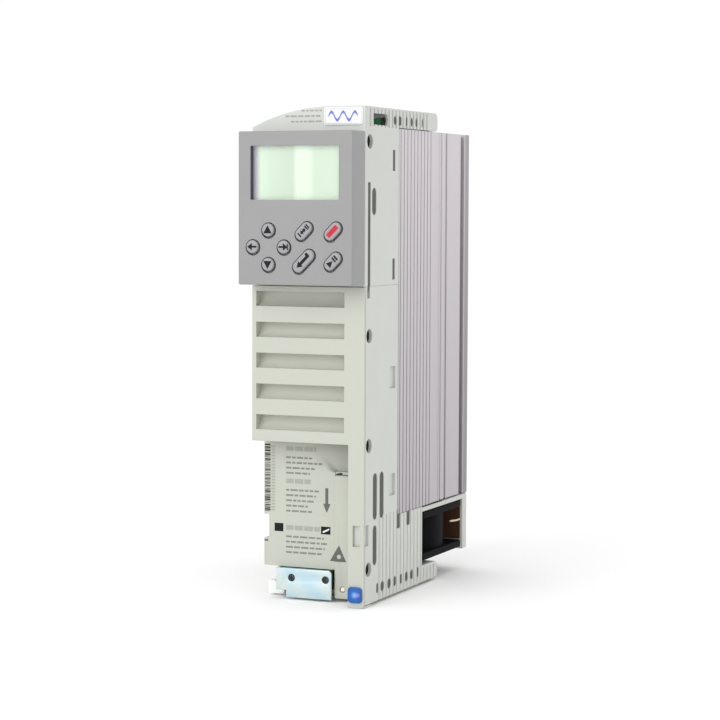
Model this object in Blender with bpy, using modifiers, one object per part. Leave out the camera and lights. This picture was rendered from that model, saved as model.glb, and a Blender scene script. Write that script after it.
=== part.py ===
"""Slim variable frequency drive: plastic housing, heatsink, plug-on keypad, removable covers and fan.

Lengths below are in millimetres and the helpers turn them into metres. They are measured in the drive's
own frame: X to the right seen from the front, Y from the rear mounting face (y = 0) towards the back of
the cabinet, so the front lies at negative Y, and Z up from the bottom edge of the housing (z = 0). The
empty "drive_origin" carries this frame to the row frame, whose origin is the bottom centre of the box
around the whole drive.
"""

import math

import bmesh
import bpy
from mathutils import Matrix, Vector

MM = 0.001

# Whole drive
HALF = 30.0  # half of the 60 mm width
FRONT = -140.0  # front plane of the housing
TOP = 240.2  # highest point of the arched top
WALL = 2.5  # plastic side walls
GAP = 0.3  # clearance between pieces that touch
SEAM_Z = 154.1  # joint line between upper and lower housing
FOOT_DROP = 1.5  # the column's foot hangs this far below the bottom edge

# Arched top
ARCH_R = 96.7
ARCH_X = 12.0
ARCH_STEPS = 8

# Depths of the main pieces
HOUSING_BACK = -98.0  # rear edge of the housing's side walls
BAND_BACK = -46.5  # rear end of the top band
BAND_Z = 231.1
COVER_BACK = -138.6  # rear of the front cover's plate
BASE_BACK = -64.5  # rear of the ribbed base
BASE_TOP = 39.2
FOOT_BACK = -43.4
FOOT_TOP = 8.5

# Front cover
COVER_Z = 77.7  # lower edge of the louvre field
COLUMN_X = 21.5
LOUVRES = 5
LOUVRE_PITCH = 15.1
LOUVRE_TOP = 151.2
LOUVRE_H = 7.4
LOUVRE_DEPTH = 6.5
LOUVRE_X = (-27.7, 19.4)

# Terminal and module covers
PANEL_Y = -126.0
PANEL_T = 2.0
PANEL_Z = 14.2
MODULE_Y = -127.5
MODULE_X = (8.9, 21.2)
MODULE_TOP = 61.0
SHIELD_Y = -130.0
SHIELD_HOLE_Z = 9.4
SHIELD_HOLES_X = (-13.2, 5.2)

# Keypad
KEYPAD_Z = (154.6, 228.1)
KEYPAD_FRONT = -155.0
KEYPAD_BACK = -140.3
BEZEL_T = 2.3
WINDOW = (-23.5, 195.3, 23.1, 221.2)
KEY_PROUD = 0.6
KEY_GAP = 0.5
ROUND_KEY_R = 3.5
LONG_KEY_W = 6.2
KEY_TILT = math.radians(45)
# Name: (x, z, length); a round key's length is its diameter
KEYS = {
    "key_up": (-14.1, 181.0, 7.0),
    "key_left": (-22.4, 172.9, 7.0),
    "key_right": (-5.9, 172.9, 7.0),
    "key_down": (-14.1, 164.5, 7.0),
    "key_menu": (4.7, 180.6, 11.0),
    "key_stop": (19.8, 180.5, 11.0),
    "key_enter": (4.6, 166.3, 14.4),
    "key_run": (19.8, 166.3, 11.0),
}

# Heatsink
SINK_Z = (39.5, 230.7)
SINK_FRONT = -97.7
GROOVES = 10
GROOVE_PITCH = 4.45
GROOVE_FIRST = -95.5
PLATE_Y = (-61.0, -56.0)
DUCTS = 11
DUCT_W = 3.3
FIN_T = 1.4
DUCT_BACK = -4.6

# Fan
FAN_Y = (-64.1, -6.8)
FAN_Z = (10.8, 36.0)
FAN_AXIS_Y = (FAN_Y[0] + FAN_Y[1]) / 2
FAN_BORE_R = 26.6
HUB_R = 12.5
BLADES = 7

# Boards
CONTROL_Y = -111.0
POWER_Y = -71.4
BOARD_T = 1.6
SPACERS = [(-23.0, 84.0), (23.0, 84.0), (-23.0, 219.0), (23.0, 219.0)]

# The row frame's origin, seen from the drive's own frame
FOREMOST = KEYPAD_FRONT - KEY_PROUD
ROW_SHIFT = (0.0, -FOREMOST / 2 * MM, FOOT_DROP * MM)

# Where each drawing plane's own axes point: (first, second, extrusion)
PLANES = {
    "XY": Matrix.Identity(4),
    "XZ": Matrix(((1, 0, 0, 0), (0, 0, -1, 0), (0, 1, 0, 0), (0, 0, 0, 1))),
    "YZ": Matrix(((0, 0, 1, 0), (1, 0, 0, 0), (0, 1, 0, 0), (0, 0, 0, 1))),
}


# ---------------------------------------------------------------- outlines


def arc(cu, cv, radius, start, end, steps):
    """Points on an arc, from angle start to end in degrees."""
    points = []
    for i in range(steps + 1):
        a = math.radians(start + (end - start) * i / steps)
        points.append((cu + radius * math.cos(a), cv + radius * math.sin(a)))
    return points


def circle(cu, cv, radius, sides=16):
    return arc(cu, cv, radius, 0, 360 - 360 / sides, sides - 1)


def rounded(u0, v0, u1, v1, radius, steps=3):
    """Rectangle with rounded corners, anticlockwise."""
    r = radius
    corners = arc(u1 - r, v0 + r, r, -90, 0, steps)
    corners += arc(u1 - r, v1 - r, r, 0, 90, steps)
    corners += arc(u0 + r, v1 - r, r, 90, 180, steps)
    corners += arc(u0 + r, v0 + r, r, 180, 270, steps)
    return corners


def rectangle(u0, v0, u1, v1):
    return [(u0, v0), (u1, v0), (u1, v1), (u0, v1)]


def stadium(cu, cv, length, width, tilt=math.pi / 2, steps=6):
    """Slot with round ends; its long side points along the angle tilt."""
    r = width / 2
    reach = length / 2 - r
    turn = math.degrees(tilt)
    du = reach * math.cos(tilt)
    dv = reach * math.sin(tilt)
    points = arc(cu + du, cv + dv, r, turn - 90, turn + 90, steps)
    points += arc(cu - du, cv - dv, r, turn + 90, turn + 270, steps)
    return points


def arch_outline(bottom, inset):
    """Front view of the housing: straight sides, and a top that rises from the left and runs out flat."""
    half = HALF - inset
    radius = ARCH_R - inset
    centre_z = TOP - ARCH_R
    left = math.degrees(math.acos((-half - ARCH_X) / radius))
    points = [(-half, bottom), (half, bottom), (half, TOP - inset)]
    points += arc(ARCH_X, centre_z, radius, 90, left, ARCH_STEPS)
    return points


# ---------------------------------------------------------------- solids


def link(obj):
    bpy.context.scene.collection.objects.link(obj)
    return obj


def extrude(plane, outline, near, far, holes=()):
    """Solid drawn as a flat outline in a plane and pulled from near to far along the third axis."""
    curve = bpy.data.curves.new("outline", "CURVE")
    curve.dimensions = "2D"
    curve.fill_mode = "BOTH"
    curve.extrude = abs(far - near) / 2 * MM
    for ring in [outline, *holes]:
        spline = curve.splines.new("POLY")
        spline.points.add(len(ring) - 1)
        for point, (u, v) in zip(spline.points, ring):
            point.co = (u * MM, v * MM, 0, 1)
        spline.use_cyclic_u = True
    flat = link(bpy.data.objects.new("outline", curve))
    middle = (near + far) / 2 * MM
    if plane == "XZ":
        middle = -middle
    flat.matrix_world = PLANES[plane] @ Matrix.Translation((0, 0, middle))
    return mesh_of(flat)


def snap(mesh):
    """Rounds coordinates to a tenth of a micrometre, so that faces meant to be flush are exactly so."""
    for vertex in mesh.vertices:
        vertex.co = [round(value, 7) for value in vertex.co]


def mesh_of(flat):
    """Turns a curve object into a closed mesh object in the drive's frame."""
    bpy.context.view_layer.update()
    graph = bpy.context.evaluated_depsgraph_get()
    mesh = bpy.data.meshes.new_from_object(flat.evaluated_get(graph))
    mesh.transform(flat.matrix_world)
    solid = bmesh.new()
    solid.from_mesh(mesh)
    bmesh.ops.remove_doubles(solid, verts=solid.verts, dist=1e-6)
    bmesh.ops.recalc_face_normals(solid, faces=solid.faces)
    solid.to_mesh(mesh)
    solid.free()
    snap(mesh)
    curve = flat.data
    bpy.data.objects.remove(flat)
    bpy.data.curves.remove(curve)
    return link(bpy.data.objects.new("solid", mesh))


def box(x0, x1, y0, y1, z0, z1):
    bpy.ops.mesh.primitive_cube_add(size=1)
    obj = bpy.context.object
    size = Matrix.Diagonal(((x1 - x0) * MM, (y1 - y0) * MM, (z1 - z0) * MM, 1))
    centre = Vector(((x0 + x1) / 2, (y0 + y1) / 2, (z0 + z1) / 2)) * MM
    obj.data.transform(Matrix.Translation(centre) @ size)
    snap(obj.data)
    return obj


def cylinder(plane, cu, cv, radius, near, far, sides=16):
    return extrude(plane, circle(cu, cv, radius, sides), near, far)


def combine(target, tool, operation):
    """Joins, cuts or intersects target with tool, and uses the tool up."""
    modifier = target.modifiers.new("combine", "BOOLEAN")
    modifier.operation = operation
    modifier.object = tool
    graph = bpy.context.evaluated_depsgraph_get()
    mesh = bpy.data.meshes.new_from_object(target.evaluated_get(graph))
    target.modifiers.clear()
    target.data = mesh
    bpy.data.objects.remove(tool)
    return target


def join(target, *tools):
    for tool in tools:
        combine(target, tool, "UNION")
    return target


def cut(target, *tools):
    for tool in tools:
        combine(target, tool, "DIFFERENCE")
    return target


def chamfer(obj, width, segments=1):
    """Breaks the sharp edges of a simple solid."""
    bevel = obj.modifiers.new("edge", "BEVEL")
    bevel.width = width * MM
    bevel.segments = segments
    bevel.limit_method = "ANGLE"
    bevel.angle_limit = math.radians(50)
    return obj


def linear(value):
    """sRGB channel, 0 to 1, as a linear one."""
    return value / 12.92 if value <= 0.04045 else ((value + 0.055) / 1.055) ** 2.4


def paint(obj, colour, roughness, metallic=0.0):
    material = bpy.data.materials.new(obj.name)
    material.use_nodes = True
    shader = material.node_tree.nodes["Principled BSDF"]
    channels = [int(colour[i : i + 2], 16) / 255 for i in (0, 2, 4)]
    shader.inputs["Base Color"].default_value = (*map(linear, channels), 1)
    shader.inputs["Roughness"].default_value = roughness
    shader.inputs["Metallic"].default_value = metallic
    obj.data.materials.clear()
    obj.data.materials.append(material)


def keep(obj, name, colour, roughness=0.5, metallic=0.0, pivot=(0, 0, 0)):
    """Names a finished piece, moves its origin to pivot and puts it in the drive's frame."""
    obj.name = name
    centre = Vector(pivot) * MM
    obj.data.transform(Matrix.Translation(-centre))
    obj.location = centre
    obj.parent = bpy.data.objects["drive_origin"]
    paint(obj, colour, roughness, metallic)
    obj.data.shade_smooth()
    obj.data.set_sharp_from_angle(angle=math.radians(30))
    for collection in obj.users_collection:
        collection.objects.unlink(obj)
    bpy.data.collections["frequency_drive"].objects.link(obj)
    return obj


# ---------------------------------------------------------------- housing

PLASTIC = "D4D6CB"
DARK = "1C1C22"
GREEN = "2E7A50"


def both_sides(outline, depth=2 * WALL):
    """A cutter through both side walls."""
    reach = HALF + depth
    return extrude("YZ", outline, -reach, reach)


def right_side(outline, inner=WALL + 1):
    """A cutter through the right wall only, or a pocket in it when inner is less than the wall."""
    return extrude("YZ", outline, HALF - inner, HALF + 2)


def left_side(outline, inner=WALL + 1):
    return extrude("YZ", outline, -HALF - 2, -HALF + inner)


def upper_side_outline():
    """Side view of the upper housing, with the top band's rounded rear end."""
    points = [(FRONT, SEAM_Z), (HOUSING_BACK, SEAM_Z), (HOUSING_BACK, BAND_Z)]
    points += arc(BAND_BACK - 2, BAND_Z + 2, 2, -90, 0, 3)
    points += arc(BAND_BACK - 3.5, TOP - 3.5, 3.5, 0, 90, 4)
    points += [(FRONT, TOP)]
    return points


def upper_housing():
    body = extrude("XZ", arch_outline(SEAM_Z - 1, 0), FRONT, BAND_BACK + 1)
    combine(body, extrude("YZ", upper_side_outline(), -HALF - 1, HALF + 1), "INTERSECT")
    cut(body, extrude("XZ", arch_outline(SEAM_Z - 9, WALL), FRONT + 2.4, HOUSING_BACK + 6))
    cut(body, extrude("XZ", arch_outline(BAND_Z - 9, WALL), HOUSING_BACK + 3, BAND_BACK - 2.4))
    cut(body, box(-10.5, 10.5, FRONT - 2, FRONT + 4, 184.0, 196.0))
    cut(body, both_sides(circle(-134.3, 223.4, 3.5)))
    cut(body, both_sides(rectangle(-136.4, SEAM_Z - 2, -133.3, 203.9)))
    cut(body, both_sides(stadium(-128.9, 194.8, 11.6, 5.2)))
    for low in (156.6, 209.8):
        cut(body, both_sides(rectangle(-105.8, low, -102.7, low + 10.3)))
    cut(body, right_side(rounded(-130.0, 231.9, -115.4, 236.7, 1.6)))
    for y, width in ((-104.1, 4.0), (-96.7, 2.6), (-88.3, 2.2), (-81.6, 3.4), (-75.4, 2.8), (-67.3, 2.0)):
        cut(body, right_side(stadium(y, 234.6, max(3.5, width + 0.3), width, steps=4)))
    for x in (-18.0, -6.0, 6.0, 18.0):
        cut(body, box(x - 4.5, x + 4.5, -127.2, -118.2, 229, 245))
    for i in range(8):
        y = -91.0 + 4.5 * i
        cut(body, box(-21.0, 21.0, y, y + 2.2, 229, 245))
    keep(body, "upper_housing", PLASTIC)


def base_side_outline():
    """Side view of the lower housing: wall, ribbed base and foot."""
    front = COVER_BACK + GAP
    points = [(front, 0)]
    points += arc(FOOT_BACK - 1.5, 1.5, 1.5, -90, 0, 2)
    points += arc(FOOT_BACK - 3, FOOT_TOP - 3, 3, 0, 90, 4)
    points += [(BASE_BACK, FOOT_TOP), (BASE_BACK, BASE_TOP), (HOUSING_BACK, BASE_TOP)]
    points += [(HOUSING_BACK, SEAM_Z - GAP), (front, SEAM_Z - GAP)]
    return points


def lower_housing():
    inner = HALF - WALL
    body = extrude("YZ", base_side_outline(), -HALF, HALF)
    cut(body, box(-inner, inner, -150, -67.0, WALL, 170))
    cut(body, box(-inner, inner, -62.3, -45.9, -2, FOOT_TOP - 2.2))
    join(body, box(23.4, inner + 1, COVER_BACK + GAP, -136.9, 20.0, 46.0))
    cut(body, box(-31, 23.2, -150, -113.2, -2, WALL + 1))
    cut(body, box(-31, -inner + 1, -150, -131.5, COVER_Z - GAP, 170))
    cut(body, box(-31, -inner + 1, -150, PANEL_Y + PANEL_T + GAP, 10, COVER_Z))
    cut(body, box(-31, -inner + 1, -150, -117.5, -2, 14.0))
    cut(body, box(-31, -inner + 1, -130, -119.0, 28.0, 39.7))
    for z in (130.2, COVER_Z - 0.6, 17.0):
        cut(body, right_side(circle(-134.3, z, 3.5)))
    cut(body, right_side(rectangle(-136.9, 148.4, -133.8, SEAM_Z + 2)))
    for low, high in ((103.0, 113.8), (49.7, 60.6)):
        cut(body, right_side(rectangle(-108.4, low, -101.3, high), 1.2))
        cut(body, left_side(rectangle(-108.4, low, -101.3, high), 1.2))
    cut(body, right_side(stadium(-126.5, 51.7, 22.8, 5.3)))
    cut(body, both_sides(stadium(-118.1, 51.6, 23.0, 5.3)))
    cut(body, right_side(stadium(-126.6, 27.8, 19.6, 5.1)))
    cut(body, right_side(rectangle(-150, 28.6, -135.0, 38.8), 1.2))
    for y, width in ((-96.2, 4.5), (-83.5, 4.6)):
        cut(body, both_sides(rectangle(y - width / 2, 32.2, y + width / 2, BASE_TOP + 3)))
    for y in (-108.1, -100.7, -92.5, -85.5, -78.3, -70.3):
        cut(body, both_sides(stadium(y, 6.2, 4.2, 3.2, steps=3)))
    for y in (-123.1, -116.5):
        cut(body, right_side(stadium(y, 6.2, 4.2, 3.2, steps=3)))
    keep(body, "lower_housing", PLASTIC)


def louvre_top(index):
    return LOUVRE_TOP - LOUVRE_PITCH * index


def scoop(top, depth, height):
    """Quarter ellipse in side view, deep at the top and running out to the front plane."""
    steps = 6
    points = []
    for i in range(steps + 1):
        a = math.pi / 2 * i / steps
        points.append((FRONT + depth * math.cos(a), top - height * math.sin(a)))
    return points


def louvre_back_outline():
    """Side view of what lies behind the louvre plate: a swelling for each scoop, on a common root."""
    wall = 1.4
    front = FRONT + 0.7
    back = COVER_BACK - 0.3
    points = [(front, COVER_Z + 1), (front, SEAM_Z - 0.8), (back, SEAM_Z - 0.8)]
    for i in range(LOUVRES):
        top = louvre_top(i) + wall
        swelling = scoop(top, LOUVRE_DEPTH + wall, LOUVRE_H + 2 * wall)
        points += [(back, top)] + [p for p in swelling if p[0] > back]
    points += [(back, COVER_Z + 1)]
    return points


def front_cover():
    foot = COLUMN_X + 1.2
    outline = [(-HALF, COVER_Z), (COLUMN_X, COVER_Z), (COLUMN_X, -FOOT_DROP + 0.8)]
    outline += [(foot, -FOOT_DROP), (HALF - 1.2, -FOOT_DROP), (HALF, -FOOT_DROP + 0.8)]
    outline += [(HALF, SEAM_Z - GAP), (-HALF, SEAM_Z - GAP)]
    body = extrude("XZ", outline, FRONT, COVER_BACK)
    low = LOUVRE_X[0] - 1.2
    join(body, extrude("YZ", louvre_back_outline(), low, LOUVRE_X[1] + 1.2))
    join(body, box(-HALF, low + 0.5, COVER_BACK - 0.7, -131.8, COVER_Z, SEAM_Z - GAP))
    join(body, box(-29.0, COLUMN_X + 1.4, COVER_BACK - 0.7, -131.8, COVER_Z, COVER_Z + 1.4))
    join(body, box(COLUMN_X, COLUMN_X + 1.4, COVER_BACK - 0.7, -118.0, 3.0, COVER_Z + 1))
    join(body, box(COLUMN_X, HALF, COVER_BACK - 0.7, -131.0, -FOOT_DROP, -GAP))
    for i in range(LOUVRES):
        pocket = scoop(louvre_top(i), LOUVRE_DEPTH, LOUVRE_H)
        pocket += [(FRONT - 2, pocket[-1][1]), (FRONT - 2, louvre_top(i))]
        cut(body, extrude("YZ", pocket, *LOUVRE_X))
    cut(body, box(24.1, 31, FRONT - 1, COVER_BACK + 0.5, 28.6, 38.8))
    keep(body, "front_cover", "D6D8CD")


def labels():
    plate = extrude("XZ", rounded(8.6, 231.2, 28.7, 239.6, 1.2), FRONT - 0.6, FRONT - 0.1)
    keep(plate, "name_plate", "F4F5F7", 0.35)
    badge = extrude("XZ", rounded(21.9, 1.3, 29.4, 9.1, 1.6, 4), FRONT - 1.2, FRONT - 0.1)
    chamfer(badge, 0.4)
    keep(badge, "corner_badge", "2F6FC4", 0.15)


# ---------------------------------------------------------------- removable covers


def recess_line(offset):
    """Plan view of the terminal cover's upper part: flat, then sinking back to the right."""
    start = -6.0
    end = MODULE_X[1]
    sink = 12.0
    points = [(-HALF, PANEL_Y + offset)]
    steps = 8
    for i in range(steps + 1):
        t = i / steps
        ease = t * t * (3 - 2 * t)
        points.append((start + (end - start) * t, PANEL_Y + offset + sink * ease))
    return points


def terminal_cover():
    top = COVER_Z - GAP
    split = MODULE_TOP + GAP
    side = MODULE_X[0] - GAP
    outline = [(-HALF, PANEL_Z), (side, PANEL_Z), (side, split + 1), (-HALF, split + 1)]
    outline += [(-HALF, 39.7), (-27.3, 39.7), (-27.3, 28.0), (-HALF, 28.0)]
    body = extrude("XZ", outline, PANEL_Y, PANEL_Y + PANEL_T)
    plan = recess_line(0) + recess_line(PANEL_T)[::-1]
    join(body, extrude("XY", plan, split, top))
    keep(body, "terminal_cover", PLASTIC, pivot=(0, PANEL_Y, 45))


def module_cover():
    x0, x1 = MODULE_X
    wall = 1.4
    body = box(x0, x1, MODULE_Y, -113.5, 0.2, MODULE_TOP)
    inner = box(x0 + wall, x1 - wall, MODULE_Y + wall, -110, 0.2 + wall, MODULE_TOP - wall)
    cut(body, inner)
    cut(body, cylinder("XZ", 13.2, 4.9, 1.5, MODULE_Y - 1, MODULE_Y + 3))
    keep(body, "module_cover", PLASTIC, pivot=(15, MODULE_Y, 30))
    pipe = cylinder("XZ", 13.2, 4.9, 1.15, MODULE_Y + 0.3, -119.0)
    keep(pipe, "light_pipe", "EEF0DC", 0.2, pivot=(15, MODULE_Y, 30))


def shield():
    x0, x1 = -21.6, 8.4
    outline = [(-16.1, -0.4), (x1, -0.4)] + arc(x1 - 1.5, 12.5, 1.5, 0, 90, 4)
    outline += [(x0, 14.0), (x0, 3.0), (-16.1, 3.0)]
    holes = [circle(x, SHIELD_HOLE_Z, 1.8) for x in SHIELD_HOLES_X]
    body = extrude("XZ", outline, SHIELD_Y, SHIELD_Y + 1.0, holes)
    join(body, box(x0, x1 - 2, SHIELD_Y + 0.5, -119.0, 12.8, 13.8))
    keep(body, "shield_plate", "C9DCE4", 0.25, 0.9)
    for side, x in zip(("left", "right"), SHIELD_HOLES_X):
        screw = cylinder("XZ", x, SHIELD_HOLE_Z, 1.45, SHIELD_Y + 0.3, -126.4, 12)
        cut(screw, box(x - 0.3, x + 0.3, SHIELD_Y - 1, SHIELD_Y + 0.9, 5, 14))
        keep(screw, "shield_screw_" + side, "8A8F94", 0.35, 1.0)


def cable_clip():
    outline = [(-29.6, -0.6), (-21.5, -0.6), (-20.5, 1.0), (-21.5, 2.6), (-24.5, 2.6)]
    outline += [(-24.5, 4.4), (-25.5, 6.0), (-29.6, 6.0)]
    keep(extrude("XZ", outline, -122.0, -117.8), "cable_clip", "EDEEE8")


# ---------------------------------------------------------------- heatsink and fan


def sink_side():
    """Right edge of the heatsink's section, from front to rear."""
    points = [(HALF, SINK_FRONT)]
    for i in range(GROOVES):
        y = GROOVE_FIRST + GROOVE_PITCH * i
        points += [(HALF, y - 0.9), (HALF - 1.0, y - 0.5), (HALF - 1.0, y + 0.5), (HALF, y + 0.9)]
    points += [(HALF, -41.6), (HALF - 1.4, -41.6), (HALF - 1.4, -40.4), (HALF, -40.4)]
    points += [(HALF, -36.2), (HALF - 0.6, -36.0), (HALF - 0.6, -31.4), (HALF, -31.4)]
    points += [(HALF, -29.5), (HALF - 0.6, -29.5), (HALF - 0.6, -11.5), (HALF - 3.2, -11.5)]
    points += [(HALF - 3.2, -6.0), (HALF, -6.0), (HALF, 0)]
    return points


def heatsink():
    leg = 3.0
    right = sink_side()
    left = [(-x, y) for x, y in reversed(right)]
    inside = [(-HALF + leg, SINK_FRONT), (-HALF + leg, PLATE_Y[0])]
    inside += [(HALF - leg, PLATE_Y[0]), (HALF - leg, SINK_FRONT)]
    ducts = []
    span = DUCTS * DUCT_W + (DUCTS - 1) * FIN_T
    for i in range(DUCTS):
        x = -span / 2 + i * (DUCT_W + FIN_T)
        ducts.append(rectangle(x, PLATE_Y[1], x + DUCT_W, DUCT_BACK))
    body = extrude("XY", right + left + inside, *SINK_Z, holes=ducts)
    keep(body, "heatsink", "BDB5BA", 0.35, 0.9)


def fan_frame():
    axis = (0, FAN_AXIS_Y)
    outer = 29.8
    square = rounded(-outer, FAN_Y[0], outer, FAN_Y[1], 3)
    bore = circle(*axis, FAN_BORE_R, 32)
    flange = 3.6
    z0, z1 = FAN_Z
    body = extrude("XY", square, z0, z0 + flange, [bore])
    join(body, extrude("XY", circle(*axis, FAN_BORE_R + 1.5, 32), z0 + 1, z1 - 1, [bore]))
    join(body, extrude("XY", square, z1 - flange, z1, [bore]))
    base = cylinder("XY", *axis, HUB_R + 0.5, z0, z0 + 2.0, 20)
    for i in range(3):
        strut = box(0, FAN_BORE_R + 0.7, -1.5, 1.5, z0, z0 + 2.0)
        strut.data.transform(Matrix.Rotation(math.radians(90 + 120 * i), 4, "Z"))
        strut.data.transform(Matrix.Translation((0, FAN_AXIS_Y * MM, 0)))
        join(base, strut)
    join(body, base)
    keep(body, "fan_frame", DARK, 0.45)


def fan_rotor():
    z0 = FAN_Z[0] + 2.5
    z1 = FAN_Z[1] - 1.6
    hub = cylinder("XY", 0, 0, HUB_R, z0 - 1, z1 + 1, 20)
    tip = FAN_BORE_R - 1.0
    root = HUB_R - 1.5
    length = tip + 1 - root
    middle = root + length / 2
    for i in range(BLADES):
        blade = box(-0.6, 0.6, -10.5, 10.5, -length / 2, length / 2)
        blade.data.transform(Matrix.Rotation(math.radians(50), 4, "Z"))
        blade.data.transform(Matrix.Rotation(math.radians(90), 4, "Y"))
        blade.data.transform(Matrix.Translation((middle * MM, 0, 0)))
        blade.data.transform(Matrix.Rotation(math.tau * i / BLADES, 4, "Z"))
        blade.data.transform(Matrix.Translation((0, 0, (z0 + z1) / 2 * MM)))
        join(hub, blade)
    combine(hub, cylinder("XY", 0, 0, tip, z0, z1, 40), "INTERSECT")
    hub.data.transform(Matrix.Translation((0, FAN_AXIS_Y * MM, 0)))
    keep(hub, "fan_rotor", "202026", 0.4, pivot=(0, FAN_AXIS_Y, 23.4))


def fan_bracket():
    top = extrude("XY", rectangle(-HALF, FAN_Y[0], HALF, -0.3), 36.4, 38.7, [circle(0, FAN_AXIS_Y, 27.4, 32)])
    join(top, box(-HALF, HALF, -6.4, -0.3, 9.3, 39.1))
    cut(top, box(-24, 24, -4.6, 1, 12, 33))
    keep(top, "fan_bracket", "E3E4DE")


def fan_lead():
    """Short lead in the corner of the fan frame, clipped between fan and bracket."""
    route = [(28.3, -20.5, 25.9), (28.6, -17.5, 25.8), (28.8, -14.0, 25.5), (28.8, -10.5, 25.4), (28.7, -7.6, 25.4)]
    curve = bpy.data.curves.new("lead", "CURVE")
    curve.dimensions = "3D"
    curve.bevel_depth = 0.5 * MM
    curve.bevel_resolution = 2
    curve.use_fill_caps = True
    spline = curve.splines.new("POLY")
    spline.points.add(len(route) - 1)
    for point, place in zip(spline.points, route):
        point.co = (*(Vector(place) * MM), 1)
    keep(mesh_of(link(bpy.data.objects.new("lead", curve))), "fan_lead", "C9B48F", 0.5)


# ---------------------------------------------------------------- keypad


def key_outline(name, grow=0.0):
    x, z, length = KEYS[name]
    if length <= 2 * ROUND_KEY_R:
        return circle(x, z, ROUND_KEY_R + grow, 20)
    return stadium(x, z, length + 2 * grow, LONG_KEY_W + 2 * grow, KEY_TILT)


def keypad_case():
    z0, z1 = KEYPAD_Z
    body = box(-HALF, HALF, KEYPAD_FRONT, KEYPAD_BACK, z0, z1)
    wall = 2.0
    inner = box(-HALF + wall, HALF - wall, KEYPAD_FRONT + BEZEL_T, -130, z0 + wall, z1 - wall)
    cut(body, inner)
    cut(body, extrude("XZ", rounded(*WINDOW, 0.5, 2), KEYPAD_FRONT - 1, KEYPAD_FRONT + 4))
    for name in KEYS:
        cut(body, extrude("XZ", key_outline(name, KEY_GAP), KEYPAD_FRONT - 1, KEYPAD_FRONT + 4))
    keep(body, "keypad_case", "AFAFB1", 0.45, pivot=(0, KEYPAD_BACK, 190))


def keypad_inside():
    wall = 2.3
    z0, z1 = KEYPAD_Z
    pivot = (0, KEYPAD_BACK, 190)
    back = extrude("XZ", rectangle(-HALF + wall, z0 + wall, HALF - wall, z1 - wall), -142.2, -140.6,
                   [rectangle(-9.0, 186.0, 9.0, 194.0)])
    keep(back, "keypad_back", "9A9A9E", pivot=pivot)
    board = box(-27.2, 27.2, -146.4, -145.2, 157.5, 225.2)
    keep(board, "keypad_board", "2F6B45", pivot=pivot)
    display = box(-26.0, 26.0, -151.3, -146.7, 192.5, 224.0)
    keep(display, "display_module", "CFE3CF", 0.3, pivot=pivot)
    lens = box(-26.0, 26.0, -152.4, -151.6, 193.0, 223.5)
    keep(lens, "display_window", "E6F2EA", 0.05, pivot=pivot)
    mat = box(-27.2, 26.5, -149.9, -146.7, 158.0, 187.5)
    keep(mat, "key_mat", "55565A", 0.8, pivot=pivot)
    plug = box(-8.0, 8.0, -144.9, -133.0, 187.0, 193.0)
    keep(plug, "keypad_plug", "2A2A2E", pivot=pivot)


def keys():
    for name, (x, z, _) in KEYS.items():
        key = extrude("XZ", key_outline(name), FOREMOST, -151.6)
        join(key, extrude("XZ", key_outline(name, 1.1), -152.4, -151.2))
        keep(key, name, "BEBEC0", 0.4, pivot=(x, FOREMOST, z))


# ---------------------------------------------------------------- electronics


def socket():
    body = box(-10.0, 10.0, -139.6, CONTROL_Y - GAP, 184.6, 195.4)
    cut(body, box(-8.5, 8.5, -145, -130.0, 186.5, 193.5))
    keep(body, "keypad_socket", "2A2A2E")


def boards():
    control = box(-26.0, 26.0, CONTROL_Y, CONTROL_Y + BOARD_T, 6.0, 222.0)
    keep(control, "control_board", "2F6B45")
    power = box(-25.5, 25.5, POWER_Y, POWER_Y + BOARD_T, 48.0, 222.0)
    keep(power, "power_board", "35663F")
    for i, (x, z) in enumerate(SPACERS, 1):
        spacer = cylinder("XZ", x, z, 2.6, CONTROL_Y + BOARD_T + GAP, POWER_Y - GAP, 6)
        keep(spacer, f"spacer_{i}", "D8D8D0")
        head = cylinder("XZ", x, z, 2.4, CONTROL_Y - 2.2, CONTROL_Y - 0.2, 12)
        cut(head, box(x - 0.4, x + 0.4, CONTROL_Y - 3, CONTROL_Y - 1.3, z - 3, z + 3))
        keep(head, f"board_screw_{i}", "9EA2A6", 0.3, 1.0)


def terminals():
    """Blocks with one wire pocket for each pole."""
    control = box(10.8, 19.3, -125.4, CONTROL_Y - GAP, 8.0, 57.0)
    for i in range(9):
        z = 10.0 + 5.2 * i
        cut(control, box(13.0, 17.2, -127, -120.5, z, z + 3.6))
    keep(control, "control_terminals", GREEN)
    mains = box(-27.0, 27.0, -131.4, CONTROL_Y - GAP, 224.5, 228.6)
    join(mains, box(-10.0, 27.0, -131.4, -114.0, 228.0, 234.8))
    for x in (-18.0, -6.0, 6.0, 18.0):
        cut(mains, box(x - 3.2, x + 3.2, -126.0, -119.4, 226.0, 240))
    keep(mains, "mains_terminals", GREEN)
    motor = box(-24.0, 6.0, -117.0, CONTROL_Y - GAP, 8.0, 24.0)
    for i in range(4):
        x = -21.4 + 7.0 * i
        cut(motor, box(x, x + 4.6, -116.0, -112.6, 5.0, 15.0))
    keep(motor, "motor_terminals", GREEN)


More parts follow.
